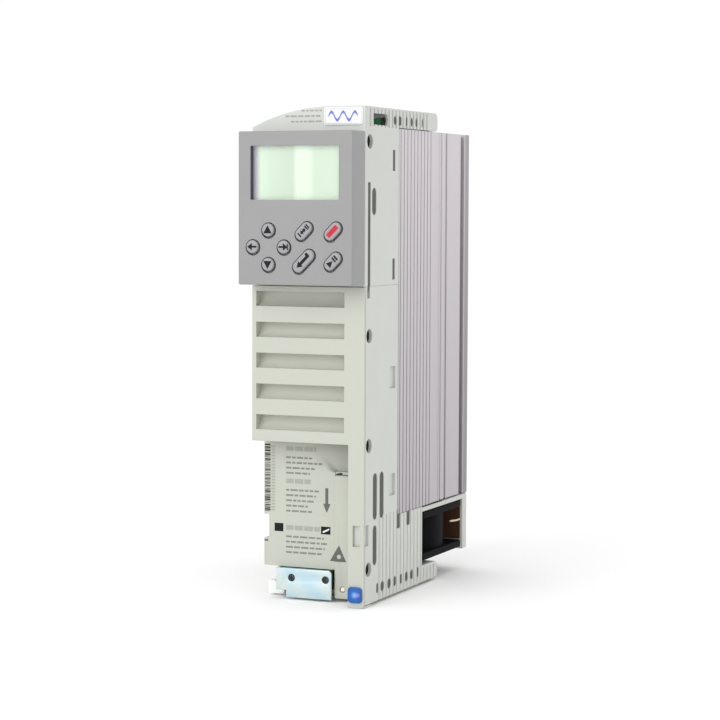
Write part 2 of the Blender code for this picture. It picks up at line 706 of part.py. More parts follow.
def power_parts():
    keep(box(-21.0, 21.0, PLATE_Y[0] - 1.1, PLATE_Y[0] - GAP, 62.0, 126.0), "thermal_pad", "B9BDC6", 0.7)
    module = chamfer(box(-20.0, 20.0, -69.4, -62.4, 64.0, 124.0), 0.8)
    keep(module, "power_module", "3A3A40")
    for i, z in enumerate((148.0, 174.0, 200.0), 1):
        can = chamfer(cylinder("XZ", 12.0, z, 11.0, -106.0, POWER_Y - GAP, 20), 0.8)
        keep(can, f"dc_capacitor_{i}", "2B3C5A", 0.35)
    bpy.ops.mesh.primitive_torus_add(
        major_segments=20,
        minor_segments=8,
        major_radius=8.6 * MM,
        minor_radius=4.2 * MM,
        location=(-12.5 * MM, -76.4 * MM, 200 * MM),
        rotation=(math.pi / 2, 0, 0),
    )
    choke = bpy.context.object
    bpy.context.view_layer.update()
    choke.data.transform(choke.matrix_world)
    choke.matrix_world = Matrix.Identity(4)
    keep(choke, "emc_choke", "B5652F", 0.4)
    relay = chamfer(box(-23.0, -8.0, -88.0, POWER_Y - GAP, 150.0, 178.0), 0.8)
    keep(relay, "inrush_relay", "2C2C33")


def main():
    for obj in list(bpy.data.objects):
        bpy.data.objects.remove(obj)
    scene = bpy.context.scene
    scene.collection.children.link(bpy.data.collections.new("frequency_drive"))
    origin = bpy.data.objects.new("drive_origin", None)
    origin.location = ROW_SHIFT
    bpy.data.collections["frequency_drive"].objects.link(origin)
    upper_housing()
    lower_housing()
    front_cover()
    labels()
    terminal_cover()
    module_cover()
    shield()
    cable_clip()
    heatsink()
    fan_frame()
    fan_rotor()
    fan_bracket()
    fan_lead()
    keypad_case()
    keypad_inside()
    keys()
    socket()
    boards()
    terminals()
    power_parts()


main()
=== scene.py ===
"""Slim variable frequency drive: the looks of its housing, keypad, louvred cover, heatsink and fan.

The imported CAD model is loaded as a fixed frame. Shapes here are drawn in millimetres in the drive's own
frame: X to the right seen from the front, Y from the rear mounting face (y = 0), so that the front lies at
negative Y, and Z up from the bottom edge of the housing (z = 0). place() takes them to the row frame.
"""

import math
import random
from collections import namedtuple

import bmesh
import bpy
from bpy.props import FloatProperty, FloatVectorProperty, IntProperty, PointerProperty
from mathutils import Matrix, Vector


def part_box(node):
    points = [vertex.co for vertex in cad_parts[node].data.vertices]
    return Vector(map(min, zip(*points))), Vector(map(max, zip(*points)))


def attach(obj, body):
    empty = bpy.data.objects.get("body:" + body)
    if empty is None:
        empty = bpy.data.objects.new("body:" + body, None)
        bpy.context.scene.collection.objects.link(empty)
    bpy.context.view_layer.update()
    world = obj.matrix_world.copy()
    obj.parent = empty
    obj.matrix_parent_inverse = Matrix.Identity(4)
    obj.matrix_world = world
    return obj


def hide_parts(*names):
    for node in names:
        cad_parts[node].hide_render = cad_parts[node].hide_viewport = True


bl_info = {
    "name": "Slim Frequency Drive",
    "version": (1, 0, 0),
    "blender": (4, 5, 0),
    "location": "3D View > Sidebar > Drive",
    "description": "Builds the looks of a narrow variable frequency drive around its CAD frame",
    "category": "Add Mesh",
}

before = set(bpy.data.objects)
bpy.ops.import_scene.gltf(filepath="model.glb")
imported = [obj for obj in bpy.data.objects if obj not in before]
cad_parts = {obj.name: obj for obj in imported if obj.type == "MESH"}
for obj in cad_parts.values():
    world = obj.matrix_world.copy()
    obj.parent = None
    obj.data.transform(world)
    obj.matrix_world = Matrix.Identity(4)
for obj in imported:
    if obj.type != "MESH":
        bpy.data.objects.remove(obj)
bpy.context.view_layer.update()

MM = 0.001
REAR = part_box("heatsink")[1].y  # row Y of the rear mounting face
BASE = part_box("lower_housing")[0].z  # row Z of the housing's bottom edge
TO_ROW = Matrix.Translation((0, REAR, BASE)) @ Matrix.Scale(MM, 4)
Span = namedtuple("Span", "x0 x1 y0 y1 z0 z1")


def span(node):
    """A CAD node's box in millimetres, in the drive's own frame."""
    low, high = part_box(node)
    shift = Vector((0, REAR, BASE))
    low = (low - shift) / MM
    high = (high - shift) / MM
    return Span(low.x, high.x, low.y, high.y, low.z, high.z)


def centre(node):
    """Middle of a node's box as seen from the front, in millimetres."""
    own = span(node)
    return (own.x0 + own.x1) / 2, (own.z0 + own.z1) / 2


def to_row(point):
    """A point in the drive's millimetres as one in the row frame."""
    return Vector(point) * MM + Vector((0, REAR, BASE))


UPPER = span("upper_housing")
LOWER = span("lower_housing")
COVER = span("front_cover")
SINK = span("heatsink")
PANEL = span("terminal_cover")
LID = span("module_cover")
SHIELD = span("shield_plate")
KEYPAD = span("keypad_case")
LENS = span("display_window")
DISPLAY = span("display_module")
FAN = span("fan_frame")
ROTOR = span("fan_rotor")
BRACKET = span("fan_bracket")

HALF = UPPER.x1  # half of the drive's width
FRONT = UPPER.y0  # front plane of the housing
WALL = 1.6  # plastic side walls
GAP = 0.3  # clearance between pieces that touch
COVER_BACK = -138.6  # rear of the front cover's plate
WALL_BACK = SINK.y0 - GAP  # rear edge of the side walls
COVER_LOW = PANEL.z1 + GAP  # lower edge of the louvre field
REAR_EDGE = -6.6  # where the heatsink's rear flange begins
RECESS = (28.6, 38.8)  # bottom and top of the finger recess in the column's edge
COLUMN_X = LID.x1 + GAP  # left edge of the front cover's column
WINDOW = (-23.5, 195.3, 23.1, 221.2)  # display opening: left, bottom, right, top
PRINT_T = 0.04  # thickness of printed marks
SKIRT = 1.1  # how far a key's skirt stands out behind the keypad's face
WIRE_X = (-18.0, -6.0, 6.0, 18.0)  # the supply wire holes, and the clamp screws under them
FAN_AXIS = (0, (FAN.y0 + FAN.y1) / 2)
ARCH_R = 96.7  # radius of the housing's arched top
ARCH_X = 12.0  # where the arch runs out flat, to the right of the middle
SIDE_HOLE_R = 3.5  # radius of the round holes in the side walls
SIDE_HOLE_Y = -134.3  # where their middles lie
SHARP = 32  # degrees from which an edge is shaded sharp

# Turns a flat outline's own axes into the two that a plane is named for.
PLANES = {
    "XY": Matrix.Identity(4),
    "XZ": Matrix(((1, 0, 0, 0), (0, 0, -1, 0), (0, 1, 0, 0), (0, 0, 0, 1))),
    "YZ": Matrix(((0, 0, 1, 0), (1, 0, 0, 0), (0, 1, 0, 0), (0, 0, 0, 1))),
}


# ---------------------------------------------------------------- sizes and colours a user may change


def millimetres(name, description, default):
    """A length property."""
    return FloatProperty(name=name, description=description + ", in millimetres", default=default, min=0)


def colour(name, description, code):
    """A colour property whose default is an sRGB hex code."""
    channels = [int(code[i : i + 2], 16) / 255 for i in (0, 2, 4)]
    return FloatVectorProperty(
        name=name, description=description, subtype="COLOR_GAMMA", size=3, min=0, max=1, default=channels
    )


class DriveSizes(bpy.types.PropertyGroup):
    """Sizes of the fine shapes that the CAD solids leave out."""

    front_edge: millimetres("Front edge", "Radius of the housing's front edges", 0.7)
    rim: millimetres("Rim", "Radius at the rims of slots and holes", 0.16)
    rib_pitch: millimetres("Rib pitch", "Distance between the ribs of the housing", 4.53)
    rib_gap: millimetres("Rib gap", "Width of the groove between two ribs of the top band", 1.9)
    rib_depth: millimetres("Rib depth", "Depth of the groove between two ribs of the top band", 0.55)
    base_gap: millimetres("Base rib gap", "Width of the groove between two ribs of the base", 0.9)
    base_depth: millimetres("Base rib depth", "Depth of the groove between two ribs of the base", 0.45)
    louvres: IntProperty(name="Louvres", description="Number of louvres in the front cover", default=5, min=1)
    louvre_pitch: millimetres("Louvre pitch", "Distance between two louvres", 15.1)
    louvre_height: millimetres("Louvre height", "Height of a louvre's mouth", 7.4)
    louvre_depth: millimetres("Louvre depth", "Depth of a louvre under its roof", 5.7)
    keypad_edge: millimetres("Keypad edge", "Radius of the keypad's front edges", 0.7)
    key_trim: millimetres("Key trim", "How much smaller than its full size a key cap is drawn", 0.3)
    key_gap: millimetres("Key gap", "Gap between a key's full size and the keypad's face", 0.45)
    key_edge: millimetres("Key edge", "Radius of a key's rounded rim", 0.8)
    fin_depth: millimetres("Fin groove depth", "Depth of the heatsink's side grooves", 0.75)
    fin_groove: millimetres("Fin groove", "Width of the heatsink's side grooves", 1.1)
    blades: IntProperty(name="Fan blades", description="Number of blades on the fan", default=7, min=3)


class DriveColours(bpy.types.PropertyGroup):
    """Finishes of the visible pieces."""

    housing: colour("Housing", "Light grey moulded plastic", "C6C8C3")
    cover: colour("Cover", "Warm light grey moulded plastic", "BABCB1")
    keypad: colour("Keypad", "Mid grey moulded plastic", "8E8E8E")
    keys: colour("Keys", "Key caps", "949497")
    # The display's glow is painted, by the emission of its material.
    display: colour("Display", "Backlit display", "E4EFE4")
    aluminium: colour("Aluminium", "Extruded heatsink", "C6C1C5")
    zinc: colour("Zinc", "Blue passivated zinc plate", "C3DDE8")
    fan: colour("Fan", "Black moulded fan", "08080D")
    badge: colour("Badge", "Domed resin badge", "1659A8")
    print_grey: colour("Print", "Grey printing ink", "85877F")
    stop_red: colour("Stop red", "Red printing ink", "BE2C3C")


def sizes():
    """The sizes set in the scene."""
    return bpy.context.scene.drive_sizes


def shades():
    """The colours set in the scene."""
    return bpy.context.scene.drive_colours


# ---------------------------------------------------------------- outlines


def arc(cu, cv, radius, start, end, steps):
    """Points on an arc, from angle start to end in degrees."""
    points = []
    for i in range(steps + 1):
        a = math.radians(start + (end - start) * i / steps)
        points.append((cu + radius * math.cos(a), cv + radius * math.sin(a)))
    return points


def circle(cu, cv, radius, sides=40):
    """Closed circle of straight sides."""
    return arc(cu, cv, radius, 0, 360 - 360 / sides, sides - 1)


def rectangle(u0, v0, u1, v1):
    """Corners from the lower left, anticlockwise."""
    return [(u0, v0), (u1, v0), (u1, v1), (u0, v1)]


def fillet(points, radius, steps=4):
    """Rounds every corner of a closed outline, with at most 45% of each side taken up."""
    smooth = []
    for before, corner, after in zip(points[-1:] + points[:-1], points, points[1:] + points[:1]):
        a = Vector(before) - Vector(corner)
        b = Vector(after) - Vector(corner)
        reach = min(radius, 0.45 * a.length, 0.45 * b.length)
        start = Vector(corner) + a.normalized() * reach
        end = Vector(corner) + b.normalized() * reach
        for i in range(steps + 1):
            t = i / steps
            point = start * (1 - t) ** 2 + Vector(corner) * 2 * t * (1 - t) + end * t**2
            smooth.append((point.x, point.y))
    return smooth


def rounded(u0, v0, u1, v1, radius, steps=5):
    """Rectangle with rounded corners, anticlockwise."""
    r = radius
    corners = arc(u1 - r, v0 + r, r, -90, 0, steps)
    corners += arc(u1 - r, v1 - r, r, 0, 90, steps)
    corners += arc(u0 + r, v1 - r, r, 90, 180, steps)
    corners += arc(u0 + r, v0 + r, r, 180, 270, steps)
    return corners


def stadium(cu, cv, length, width, tilt=90, steps=10):
    """Slot with round ends; its long side points along the angle tilt, in degrees."""
    r = width / 2
    reach = max(length / 2 - r, 0.01)
    du = reach * math.cos(math.radians(tilt))
    dv = reach * math.sin(math.radians(tilt))
    points = arc(cu + du, cv + dv, r, tilt - 90, tilt + 90, steps)
    points += arc(cu - du, cv - dv, r, tilt + 90, tilt + 270, steps)
    return points


def arch_outline(bottom, inset, steps=28):
    """Front view of the housing: straight sides, and a top that rises from the left and runs out flat."""
    half = HALF - inset
    radius = ARCH_R - inset
    left = math.degrees(math.acos((-half - ARCH_X) / radius))
    points = [(-half, bottom), (half, bottom), (half, UPPER.z1 - inset)]
    points += arc(ARCH_X, UPPER.z1 - ARCH_R, radius, 90, left, steps)
    return points


# ---------------------------------------------------------------- solids


def link(obj):
    """Puts an object in the scene."""
    bpy.context.scene.collection.objects.link(obj)
    return obj


def baked(obj):
    """The object's evaluated mesh, with its modifiers applied."""
    bpy.context.view_layer.update()
    return bpy.data.meshes.new_from_object(obj.evaluated_get(bpy.context.evaluated_depsgraph_get()))


def solid(plane, outline, near, far, holes=(), edge=0.0, steps=3):
    """Closed solid: an outline in a plane, pulled from near to far, with its rims rounded by edge."""
    curve = bpy.data.curves.new("outline", "CURVE")
    curve.dimensions = "2D"
    curve.fill_mode = "BOTH"
    curve.extrude = abs(far - near) / 2 - edge
    curve.bevel_depth = edge
    curve.bevel_resolution = steps
    curve.offset = -edge
    for index, ring in enumerate([outline, *holes]):
        turn = sum(a[0] * b[1] - b[0] * a[1] for a, b in zip(ring, ring[1:] + ring[:1]))
        if (turn < 0) == (index == 0):
            ring = ring[::-1]
        spline = curve.splines.new("POLY")
        spline.points.add(len(ring) - 1)
        for point, (u, v) in zip(spline.points, ring):
            point.co = (u, v, 0, 1)
        spline.use_cyclic_u = True
    flat = link(bpy.data.objects.new("outline", curve))
    middle = (near + far) / 2
    if plane == "XZ":  # this plane's normal points to the front, against Y
        middle = -middle
    mesh = baked(flat)
    mesh.transform(PLANES[plane] @ Matrix.Translation((0, 0, middle)))
    bpy.data.objects.remove(flat)
    bpy.data.curves.remove(curve)
    shell = bmesh.new()
    shell.from_mesh(mesh)
    bmesh.ops.remove_doubles(shell, verts=shell.verts, dist=1e-4)
    bmesh.ops.recalc_face_normals(shell, faces=shell.faces)
    shell.to_mesh(mesh)
    shell.free()
    return link(bpy.data.objects.new("solid", mesh))


def block(x0, x1, y0, y1, z0, z1, edge=0.0):
    """A box, with all its edges rounded where edge is given."""
    if edge:
        return solid("XZ", rounded(x0, z0, x1, z1, 1.6 * edge), y0, y1, edge=edge)
    return solid("XZ", rectangle(x0, z0, x1, z1), y0, y1)


def gather(parts):
    """One object out of several that don't touch."""
    whole = bmesh.new()
    for part in parts:
        whole.from_mesh(part.data)
        bpy.data.objects.remove(part)
    mesh = bpy.data.meshes.new("gathered")
    whole.to_mesh(mesh)
    whole.free()
    return link(bpy.data.objects.new("gathered", mesh))


def tube(routes, radius, roundness, smooth=False):
    """Round wire along each route, straight from point to point or smoothed through them."""
    curve = bpy.data.curves.new("tube", "CURVE")
    curve.dimensions = "3D"
    curve.bevel_depth = radius
    curve.bevel_resolution = roundness
    curve.use_fill_caps = True
    for route in routes:
        spline = curve.splines.new("BEZIER" if smooth else "POLY")
        points = spline.bezier_points if smooth else spline.points
        points.add(len(route) - 1)
        for point, where in zip(points, route):
            if smooth:
                point.co = where
                point.handle_left_type = point.handle_right_type = "AUTO"
            else:
                point.co = (*where, 1)
    raw = link(bpy.data.objects.new("tube", curve))
    mesh = baked(raw)
    bpy.data.objects.remove(raw)
    return link(bpy.data.objects.new("tube", mesh))


def between(front, rear):
    """Closed solid between two equal grids of points."""
    shell = bmesh.new()
    sheets = [[[shell.verts.new(point) for point in line] for line in grid] for grid in (front, rear)]
    front, rear = sheets
    lines, places = len(front) - 1, len(front[0]) - 1
    for sheet in sheets:
        for a, b in zip(sheet, sheet[1:]):
            for j in range(places):
                shell.faces.new((a[j], b[j], b[j + 1], a[j + 1]))
    for j in (0, places):
        for i in range(lines):
            shell.faces.new((front[i][j], front[i + 1][j], rear[i + 1][j], rear[i][j]))
    for i in (0, lines):
        for j in range(places):
            shell.faces.new((front[i][j], front[i][j + 1], rear[i][j + 1], rear[i][j]))
    bmesh.ops.recalc_face_normals(shell, faces=shell.faces)
    mesh = bpy.data.meshes.new("between")
    shell.to_mesh(mesh)
    shell.free()
    return link(bpy.data.objects.new("between", mesh))


def volume(mesh):
    """A closed mesh's volume in cubic millimetres."""
    shell = bmesh.new()
    shell.from_mesh(mesh)
    size = shell.calc_volume()
    shell.free()
    return size


def combine(target, tool, operation):
    """Joins, cuts or intersects target with tool and uses the tool up. It has to change the target."""
    before = volume(target.data)
    modifier = target.modifiers.new("combine", "BOOLEAN")
    modifier.operation = operation
    modifier.solver = "MANIFOLD"
    modifier.object = tool
    mesh = baked(target)
    target.modifiers.clear()
    target.data = mesh
    bpy.data.objects.remove(tool)
    if abs(volume(mesh) - before) < 1e-6:
        raise RuntimeError(f"a {operation} left a solid of {before:.2f} cubic millimetres as it was")
    return target


def join(target, *tools):
    """Adds the tools to the target."""
    for tool in tools:
        combine(target, tool, "UNION")
    return target


def cut(target, *tools):
    """Takes the tools out of the target."""
    for tool in tools:
        combine(target, tool, "DIFFERENCE")
    return target


def round_edges(obj, width, segments=2, angle=42):
    """Rounds the edges that turn by more than angle degrees."""
    bevel = obj.modifiers.new("edges", "BEVEL")
    bevel.width = width
    bevel.segments = segments
    bevel.limit_method = "ANGLE"
    bevel.angle_limit = math.radians(angle)
    bevel.miter_outer = "MITER_ARC"
    mesh = baked(obj)
    obj.modifiers.clear()
    shell = bmesh.new()
    shell.from_mesh(mesh)
    bmesh.ops.dissolve_degenerate(shell, dist=2e-3, edges=shell.edges)
    shell.to_mesh(mesh)
    shell.free()
    obj.data = mesh
    return obj


def place(obj, name, body, look, *nodes, slot=None):
    """Names a piece, takes it from the drive's millimetres to the row frame and lets it ride on a body.

    Its look is a finish, which becomes its material; the slot argument is not used.
    """
    obj.name = name
    obj.data.transform(TO_ROW)
    obj.data.materials.clear()
    obj.data.materials.append(finish(look))
    obj.data.shade_smooth()
    obj.data.set_sharp_from_angle(angle=math.radians(SHARP))
    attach(obj, body)
    if nodes:
        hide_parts(*nodes)


# ---------------------------------------------------------------- materials

# Sockets of a Mix node that mixes colours: factor, first and second colour, and the result.
MIX_FACTOR, MIX_FIRST, MIX_SECOND, MIX_RESULT = 0, 6, 7, 2
WHITE = "FFFFFF"


def linear(channel):
    """sRGB channel, 0 to 1, as a linear one."""
    return channel / 12.92 if channel <= 0.04045 else ((channel + 0.055) / 1.055) ** 2.4


def tint(source, factor=1.0):
    """Linear RGBA from an sRGB hex code or a colour property, made lighter or darker by factor."""
    if isinstance(source, str):
        source = [int(source[i : i + 2], 16) / 255 for i in (0, 2, 4)]
    return (*(min(1.0, linear(c) * factor) for c in source), 1)


def add(tree, kind, inputs=None, **settings):
    """Adds a node: settings are its own properties, and inputs are values or other nodes' outputs."""
    made = tree.nodes.new("ShaderNode" + kind)
    for name, value in settings.items():
        setattr(made, name, value)
    for name, value in (inputs or {}).items():
        if isinstance(value, bpy.types.NodeSocket):
            tree.links.new(value, made.inputs[name])
        else:
            made.inputs[name].default_value = value
    return made


def surface(name, **constants):
    """A material with a Principled shader, and the sockets that are the same all over."""
    material = bpy.data.materials.new(name)
    material.use_nodes = True
    tree = material.node_tree
    shader = tree.nodes["Principled BSDF"]
    for socket, value in constants.items():
        shader.inputs[socket.replace("_", " ")].default_value = value
    return material, tree, shader


def position(tree, scale=(1, 1, 1)):
    """The piece's own coordinates in millimetres, stretched by scale."""
    where = add(tree, "TexCoord").outputs["Object"]
    factors = [1000 * s for s in scale]
    return add(tree, "Mapping", {"Vector": where, "Scale": factors}).outputs["Vector"]


def mottle(tree, shader, where, base, spread, size):
    """Base colour that drifts by spread, lighter and darker, over patches of a size in millimetres."""
    cloud = add(tree, "TexNoise", {"Vector": where, "Scale": 1 / size, "Detail": 3.0})
    ramp = add(tree, "ValToRGB", {"Fac": cloud.outputs["Fac"]})
    ramp.color_ramp.elements[0].position = 0.3
    ramp.color_ramp.elements[1].position = 0.7
    ramp.color_ramp.elements[0].color = tint(base, 1 - spread)
    ramp.color_ramp.elements[1].color = tint(base, 1 + spread)
    tree.links.new(ramp.outputs["Color"], shader.inputs["Base Color"])
    return ramp


def grain(tree, shader, where, size, height, rough=None):
    """Surface relief of a grain size and height in millimetres, and a roughness that varies with it."""
    relief = add(tree, "TexNoise", {"Vector": where, "Scale": 1 / size, "Detail": 2.0})
    bump = add(tree, "Bump", {"Height": relief.outputs["Fac"], "Strength": 0.6, "Distance": height * MM})
    tree.links.new(bump.outputs["Normal"], shader.inputs["Normal"])
    if rough:
        patch = 14 * size  # handling marks are much larger than the grain
        smear = add(tree, "TexNoise", {"Vector": where, "Scale": 1 / patch, "Detail": 2.0})
        level = add(tree, "MapRange", {"Value": smear.outputs["Fac"], "To Min": rough[0], "To Max": rough[1]})
        tree.links.new(level.outputs["Result"], shader.inputs["Roughness"])


def moulded_abs(name, base, gloss=(0.42, 0.55), spark=0.5):
    """ABS from a spark-eroded mould: a satin sheen broken by a fine, even grain."""
    # The real grain is about 0.1 mm; it is drawn coarser so that it still breaks the highlights.
    material, tree, shader = surface(name, IOR=1.53)
    where = position(tree)
    mottle(tree, shader, where, base, 0.012, 22.0)
    grain(tree, shader, where, spark, 0.02, gloss)
    return material


def extruded_aluminium(name, base):
    """Bare extruded aluminium: soft sheen with faint die lines along the height, and painted shade that
    darkens it towards the bottom and on the rear flange.
    """
    material, tree, shader = surface(name, Metallic=1.0)
    lines = position(tree, (1, 1, 0.012))
    lines_colour = mottle(tree, shader, lines, base, 0.012, 1.6).outputs["Color"]
    grain(tree, shader, lines, 0.5, 0.008, (0.32, 0.4))
    # The die lines are drawn about 0.5 mm apart, coarser than the real ones, so that they show.
    axes = add(tree, "SeparateXYZ", {"Vector": position(tree)}).outputs
    edge = to_row((0, REAR_EDGE, 0)).y / MM
    # Painted shade: darker towards the bottom near the fan, lighter towards the top, and darker on the rear
    # flange.
    rise = {"Value": axes["Z"], "From Min": 40.0, "From Max": 225.0, "To Min": 0.82, "To Max": 1.1}
    rear = {"Value": axes["Y"], "From Min": edge, "From Max": edge + 0.8, "To Min": 1.0, "To Max": 0.58}
    factors = [add(tree, "MapRange", limits).outputs["Result"] for limits in (rise, rear)]
    painted_shade = add(tree, "Math", dict(enumerate(factors)), operation="MULTIPLY")
    shaded = add(tree, "VectorMath", {0: lines_colour, "Scale": painted_shade.outputs[0]}, operation="SCALE")
    tree.links.new(shaded.outputs[0], shader.inputs["Base Color"])
    return material


def passivated_zinc(name, base):
    """Zinc plate with a blue passivation: bright metal whose film drifts from blue to pale straw."""
    material, tree, shader = surface(name, Metallic=1.0)
    where = position(tree)
    film = mottle(tree, shader, where, base, 0.03, 9.0)
    film.color_ramp.elements[0].color = tint(base, 0.97)
    film.color_ramp.elements[1].color = tint("DDE4D8")
    film.color_ramp.elements[0].position = 0.42
    film.color_ramp.elements[1].position = 0.74
    grain(tree, shader, where, 0.6, 0.01, (0.3, 0.4))
    return material


def turned_steel(name, base):
    """Machined and blackened screw steel: a dark metal, unevenly toned, with a soft gleam."""
    material, tree, shader = surface(name, Metallic=1.0)
    where = position(tree)
    mottle(tree, shader, where, base, 0.08, 1.2)
    grain(tree, shader, where, 0.25, 0.01, (0.25, 0.4))
    return material


def glass_filled_pbt(name, base, gloss=(0.55, 0.7)):
    """Glass-filled PBT of fans and connectors: nearly matt, with a faint flow texture from the fibre."""
    material, tree, shader = surface(name, IOR=1.55, Specular_IOR_Level=0.05)
    where = position(tree)
    mottle(tree, shader, where, base, 0.15, 6.0)
    grain(tree, shader, where, 0.8, 0.015, gloss)
    return material


def clear_resin(name, base):
    """Domed polyurethane resin over a printed foil, under wet gloss: light in the middle by a painted
    highlight, deep at the rim, and with a painted pink reflection just right of the middle.
    """
    material, tree, shader = surface(name, IOR=1.5, Roughness=0.12, Coat_Weight=0.3, Coat_Roughness=0.05,
                                     Specular_IOR_Level=0.3)
    where = position(tree)
    badge = span("corner_badge")
    x, z = centre("corner_badge")
    middle = to_row((x, badge.y0, z)) / MM
    away = add(tree, "VectorMath", {0: where, 1: middle}, operation="DISTANCE").outputs["Value"]
    reach = add(tree, "MapRange", {"Value": away, "From Min": 0.0, "From Max": badge.x1 - x + 0.6})
    # Painted highlight: pale blue at the middle, fading to the badge's own blue and deeper at the rim.
    ramp = add(tree, "ValToRGB", {"Fac": reach.outputs["Result"]})
    ramp.color_ramp.elements[0].color = tint("8DB8E4")
    ramp.color_ramp.elements[1].color = tint(base, 0.85)
    ramp.color_ramp.elements[1].position = 0.9
    ramp.color_ramp.elements.new(0.42).color = tint(base, 1.25)
    # Painted reflection: a pink spot just right of the middle.
    glint = add(tree, "VectorMath", {0: where, 1: middle + Vector((1.7, 0, 0.1))}, operation="DISTANCE")
    spot = add(tree, "MapRange", {"Value": glint.outputs["Value"], "From Min": 0.2, "From Max": 1.3,
                                  "To Min": 0.6, "To Max": 0.0})
    painted_glint_layers = {MIX_FACTOR: spot.outputs["Result"], MIX_FIRST: ramp.outputs["Color"], MIX_SECOND: tint("D978C0")}
    both = add(tree, "Mix", painted_glint_layers, data_type="RGBA")
    tree.links.new(both.outputs[MIX_RESULT], shader.inputs["Base Color"])
    return material


def twisted_nematic(name, base):
    """Display: pale green foil with a painted glow from its emission, a brighter band in it that is a painted
    reflection, and a fine dot grid.
    """
    # The emission is a painted glow: the foil shines as if a backlight were lit.
    material, tree, shader = surface(name, IOR=1.5, Roughness=0.25, Specular_IOR_Level=0.3,
                                     Emission_Strength=0.2)
    where = position(tree)
    across = add(tree, "SeparateXYZ", {"Vector": where}).outputs["X"]
    spot = add(tree, "MapRange", {"Value": across, "From Min": WINDOW[0], "From Max": WINDOW[2]})
    ramp = add(tree, "ValToRGB", {"Fac": spot.outputs["Result"]})
    stops = ramp.color_ramp
    # The pale violet tint at the window's left edge is painted light.
    stops.elements[0].position = 0.035
    stops.elements[0].color = tint("D9D5E6")
    stops.elements[1].position = 1.0
    stops.elements[1].color = tint(base, 1.05)
    # Places across the window, from 0 to 1, and how bright the foil is painted there; the brighter band at
    # 0.53 to 0.62 is a painted reflection.
    painted_light_bands = ((0.08, 1.08), (0.2, 1.0), (0.44, 0.93), (0.53, 1.16), (0.62, 1.18), (0.69, 1.02))
    for stop, factor in painted_light_bands:
        stops.elements.new(stop).color = tint(base, factor)
    cells = add(tree, "TexBrick", {"Vector": where, "Scale": 1.0, "Mortar Size": 0.05, "Brick Width": 0.9,
                                   "Row Height": 0.9, "Mortar Smooth": 0.6})
    cells.offset = 0
    for socket, code in (("Color1", WHITE), ("Color2", WHITE), ("Mortar", "CBDACB")):
        cells.inputs[socket].default_value = tint(code)
    layers = {MIX_FACTOR: 0.05, MIX_FIRST: ramp.outputs["Color"], MIX_SECOND: cells.outputs["Color"]}
    fine = add(tree, "Mix", layers, data_type="RGBA", blend_type="MULTIPLY").outputs[MIX_RESULT]
    tree.links.new(fine, shader.inputs["Base Color"])
    tree.links.new(fine, shader.inputs["Emission Color"])
    return material


def polished_lens(name):
    """Clear moulded acrylic: see-through, with a mirror-like face that shows the lights."""
    material = bpy.data.materials.new(name)
    material.use_nodes = True
    tree = material.node_tree
    tree.nodes.remove(tree.nodes["Principled BSDF"])
    clear = add(tree, "BsdfTransparent", {"Color": tint("FBFDFA")})
    gloss = add(tree, "BsdfGlossy", {"Roughness": 0.06})
    edge = add(tree, "Fresnel", {"IOR": 1.45})
    both = add(tree, "MixShader", {0: edge.outputs[0], 1: clear.outputs[0], 2: gloss.outputs[0]})
    tree.links.new(both.outputs[0], tree.nodes["Material Output"].inputs["Surface"])
    return material


def pad_print(name, base, gloss=0.5):
    """Pad printing ink or a printed film: thin and flat, with slightly uneven cover."""
    material, tree, shader = surface(name, IOR=1.5, Roughness=gloss, Specular_IOR_Level=0.25)
    mottle(tree, shader, position(tree), base, 0.08, 1.1)
    return material


def solder_mask(name, base):
    """Glass-epoxy board under green mask: shiny, with the copper tracks showing lighter through it."""
    material, tree, shader = surface(name, IOR=1.52, Roughness=0.3)
    where = position(tree)
    tracks = add(tree, "TexBrick", {"Vector": where, "Scale": 1.0, "Mortar Size": 0.22, "Brick Width": 9.0,
                                    "Row Height": 2.6, "Mortar Smooth": 0.1})
    tracks.inputs["Color1"].default_value = tint(base, 1.0)
    tracks.inputs["Color2"].default_value = tint(base, 0.9)
    tracks.inputs["Mortar"].default_value = tint(base, 1.6)
    tree.links.new(tracks.outputs["Color"], shader.inputs["Base Color"])
    bump = add(tree, "Bump", {"Height": tracks.outputs["Fac"], "Strength": 0.4, "Distance": 0.03 * MM})
    tree.links.new(bump.outputs["Normal"], shader.inputs["Normal"])
    return material


def wound_copper(name, base):
    """Enamelled copper winding: glossy turns about a millimetre apart."""
    material, tree, shader = surface(name, Metallic=0.6, Roughness=0.3)
    where = position(tree)
    turns = add(tree, "TexWave", {"Vector": where, "Scale": 0.3, "Distortion": 0.4, "Detail": 0.0})
    ramp = add(tree, "ValToRGB", {"Fac": turns.outputs["Fac"]})
    ramp.color_ramp.elements[0].color = tint(base, 0.5)
    ramp.color_ramp.elements[1].color = tint(base, 1.2)
    tree.links.new(ramp.outputs["Color"], shader.inputs["Base Color"])
    return material


def resin_paper(name, base):
    """Phenolic paper: brown and matt, with a fibrous drift of colour."""
    material, tree, shader = surface(name, IOR=1.5, Roughness=0.6)
    mottle(tree, shader, position(tree, (1, 1, 0.25)), base, 0.25, 2.0)
    return material


def matt_paper(name, base):
    """Seamless background paper: matt and pale, with a barely seen fibre."""
    material, tree, shader = surface(name, Roughness=0.9, Specular_IOR_Level=0.2)
    where = position(tree)
    mottle(tree, shader, where, base, 0.004, 60.0)
    grain(tree, shader, where, 1.5, 0.03)
    return material


FINISHES = {}


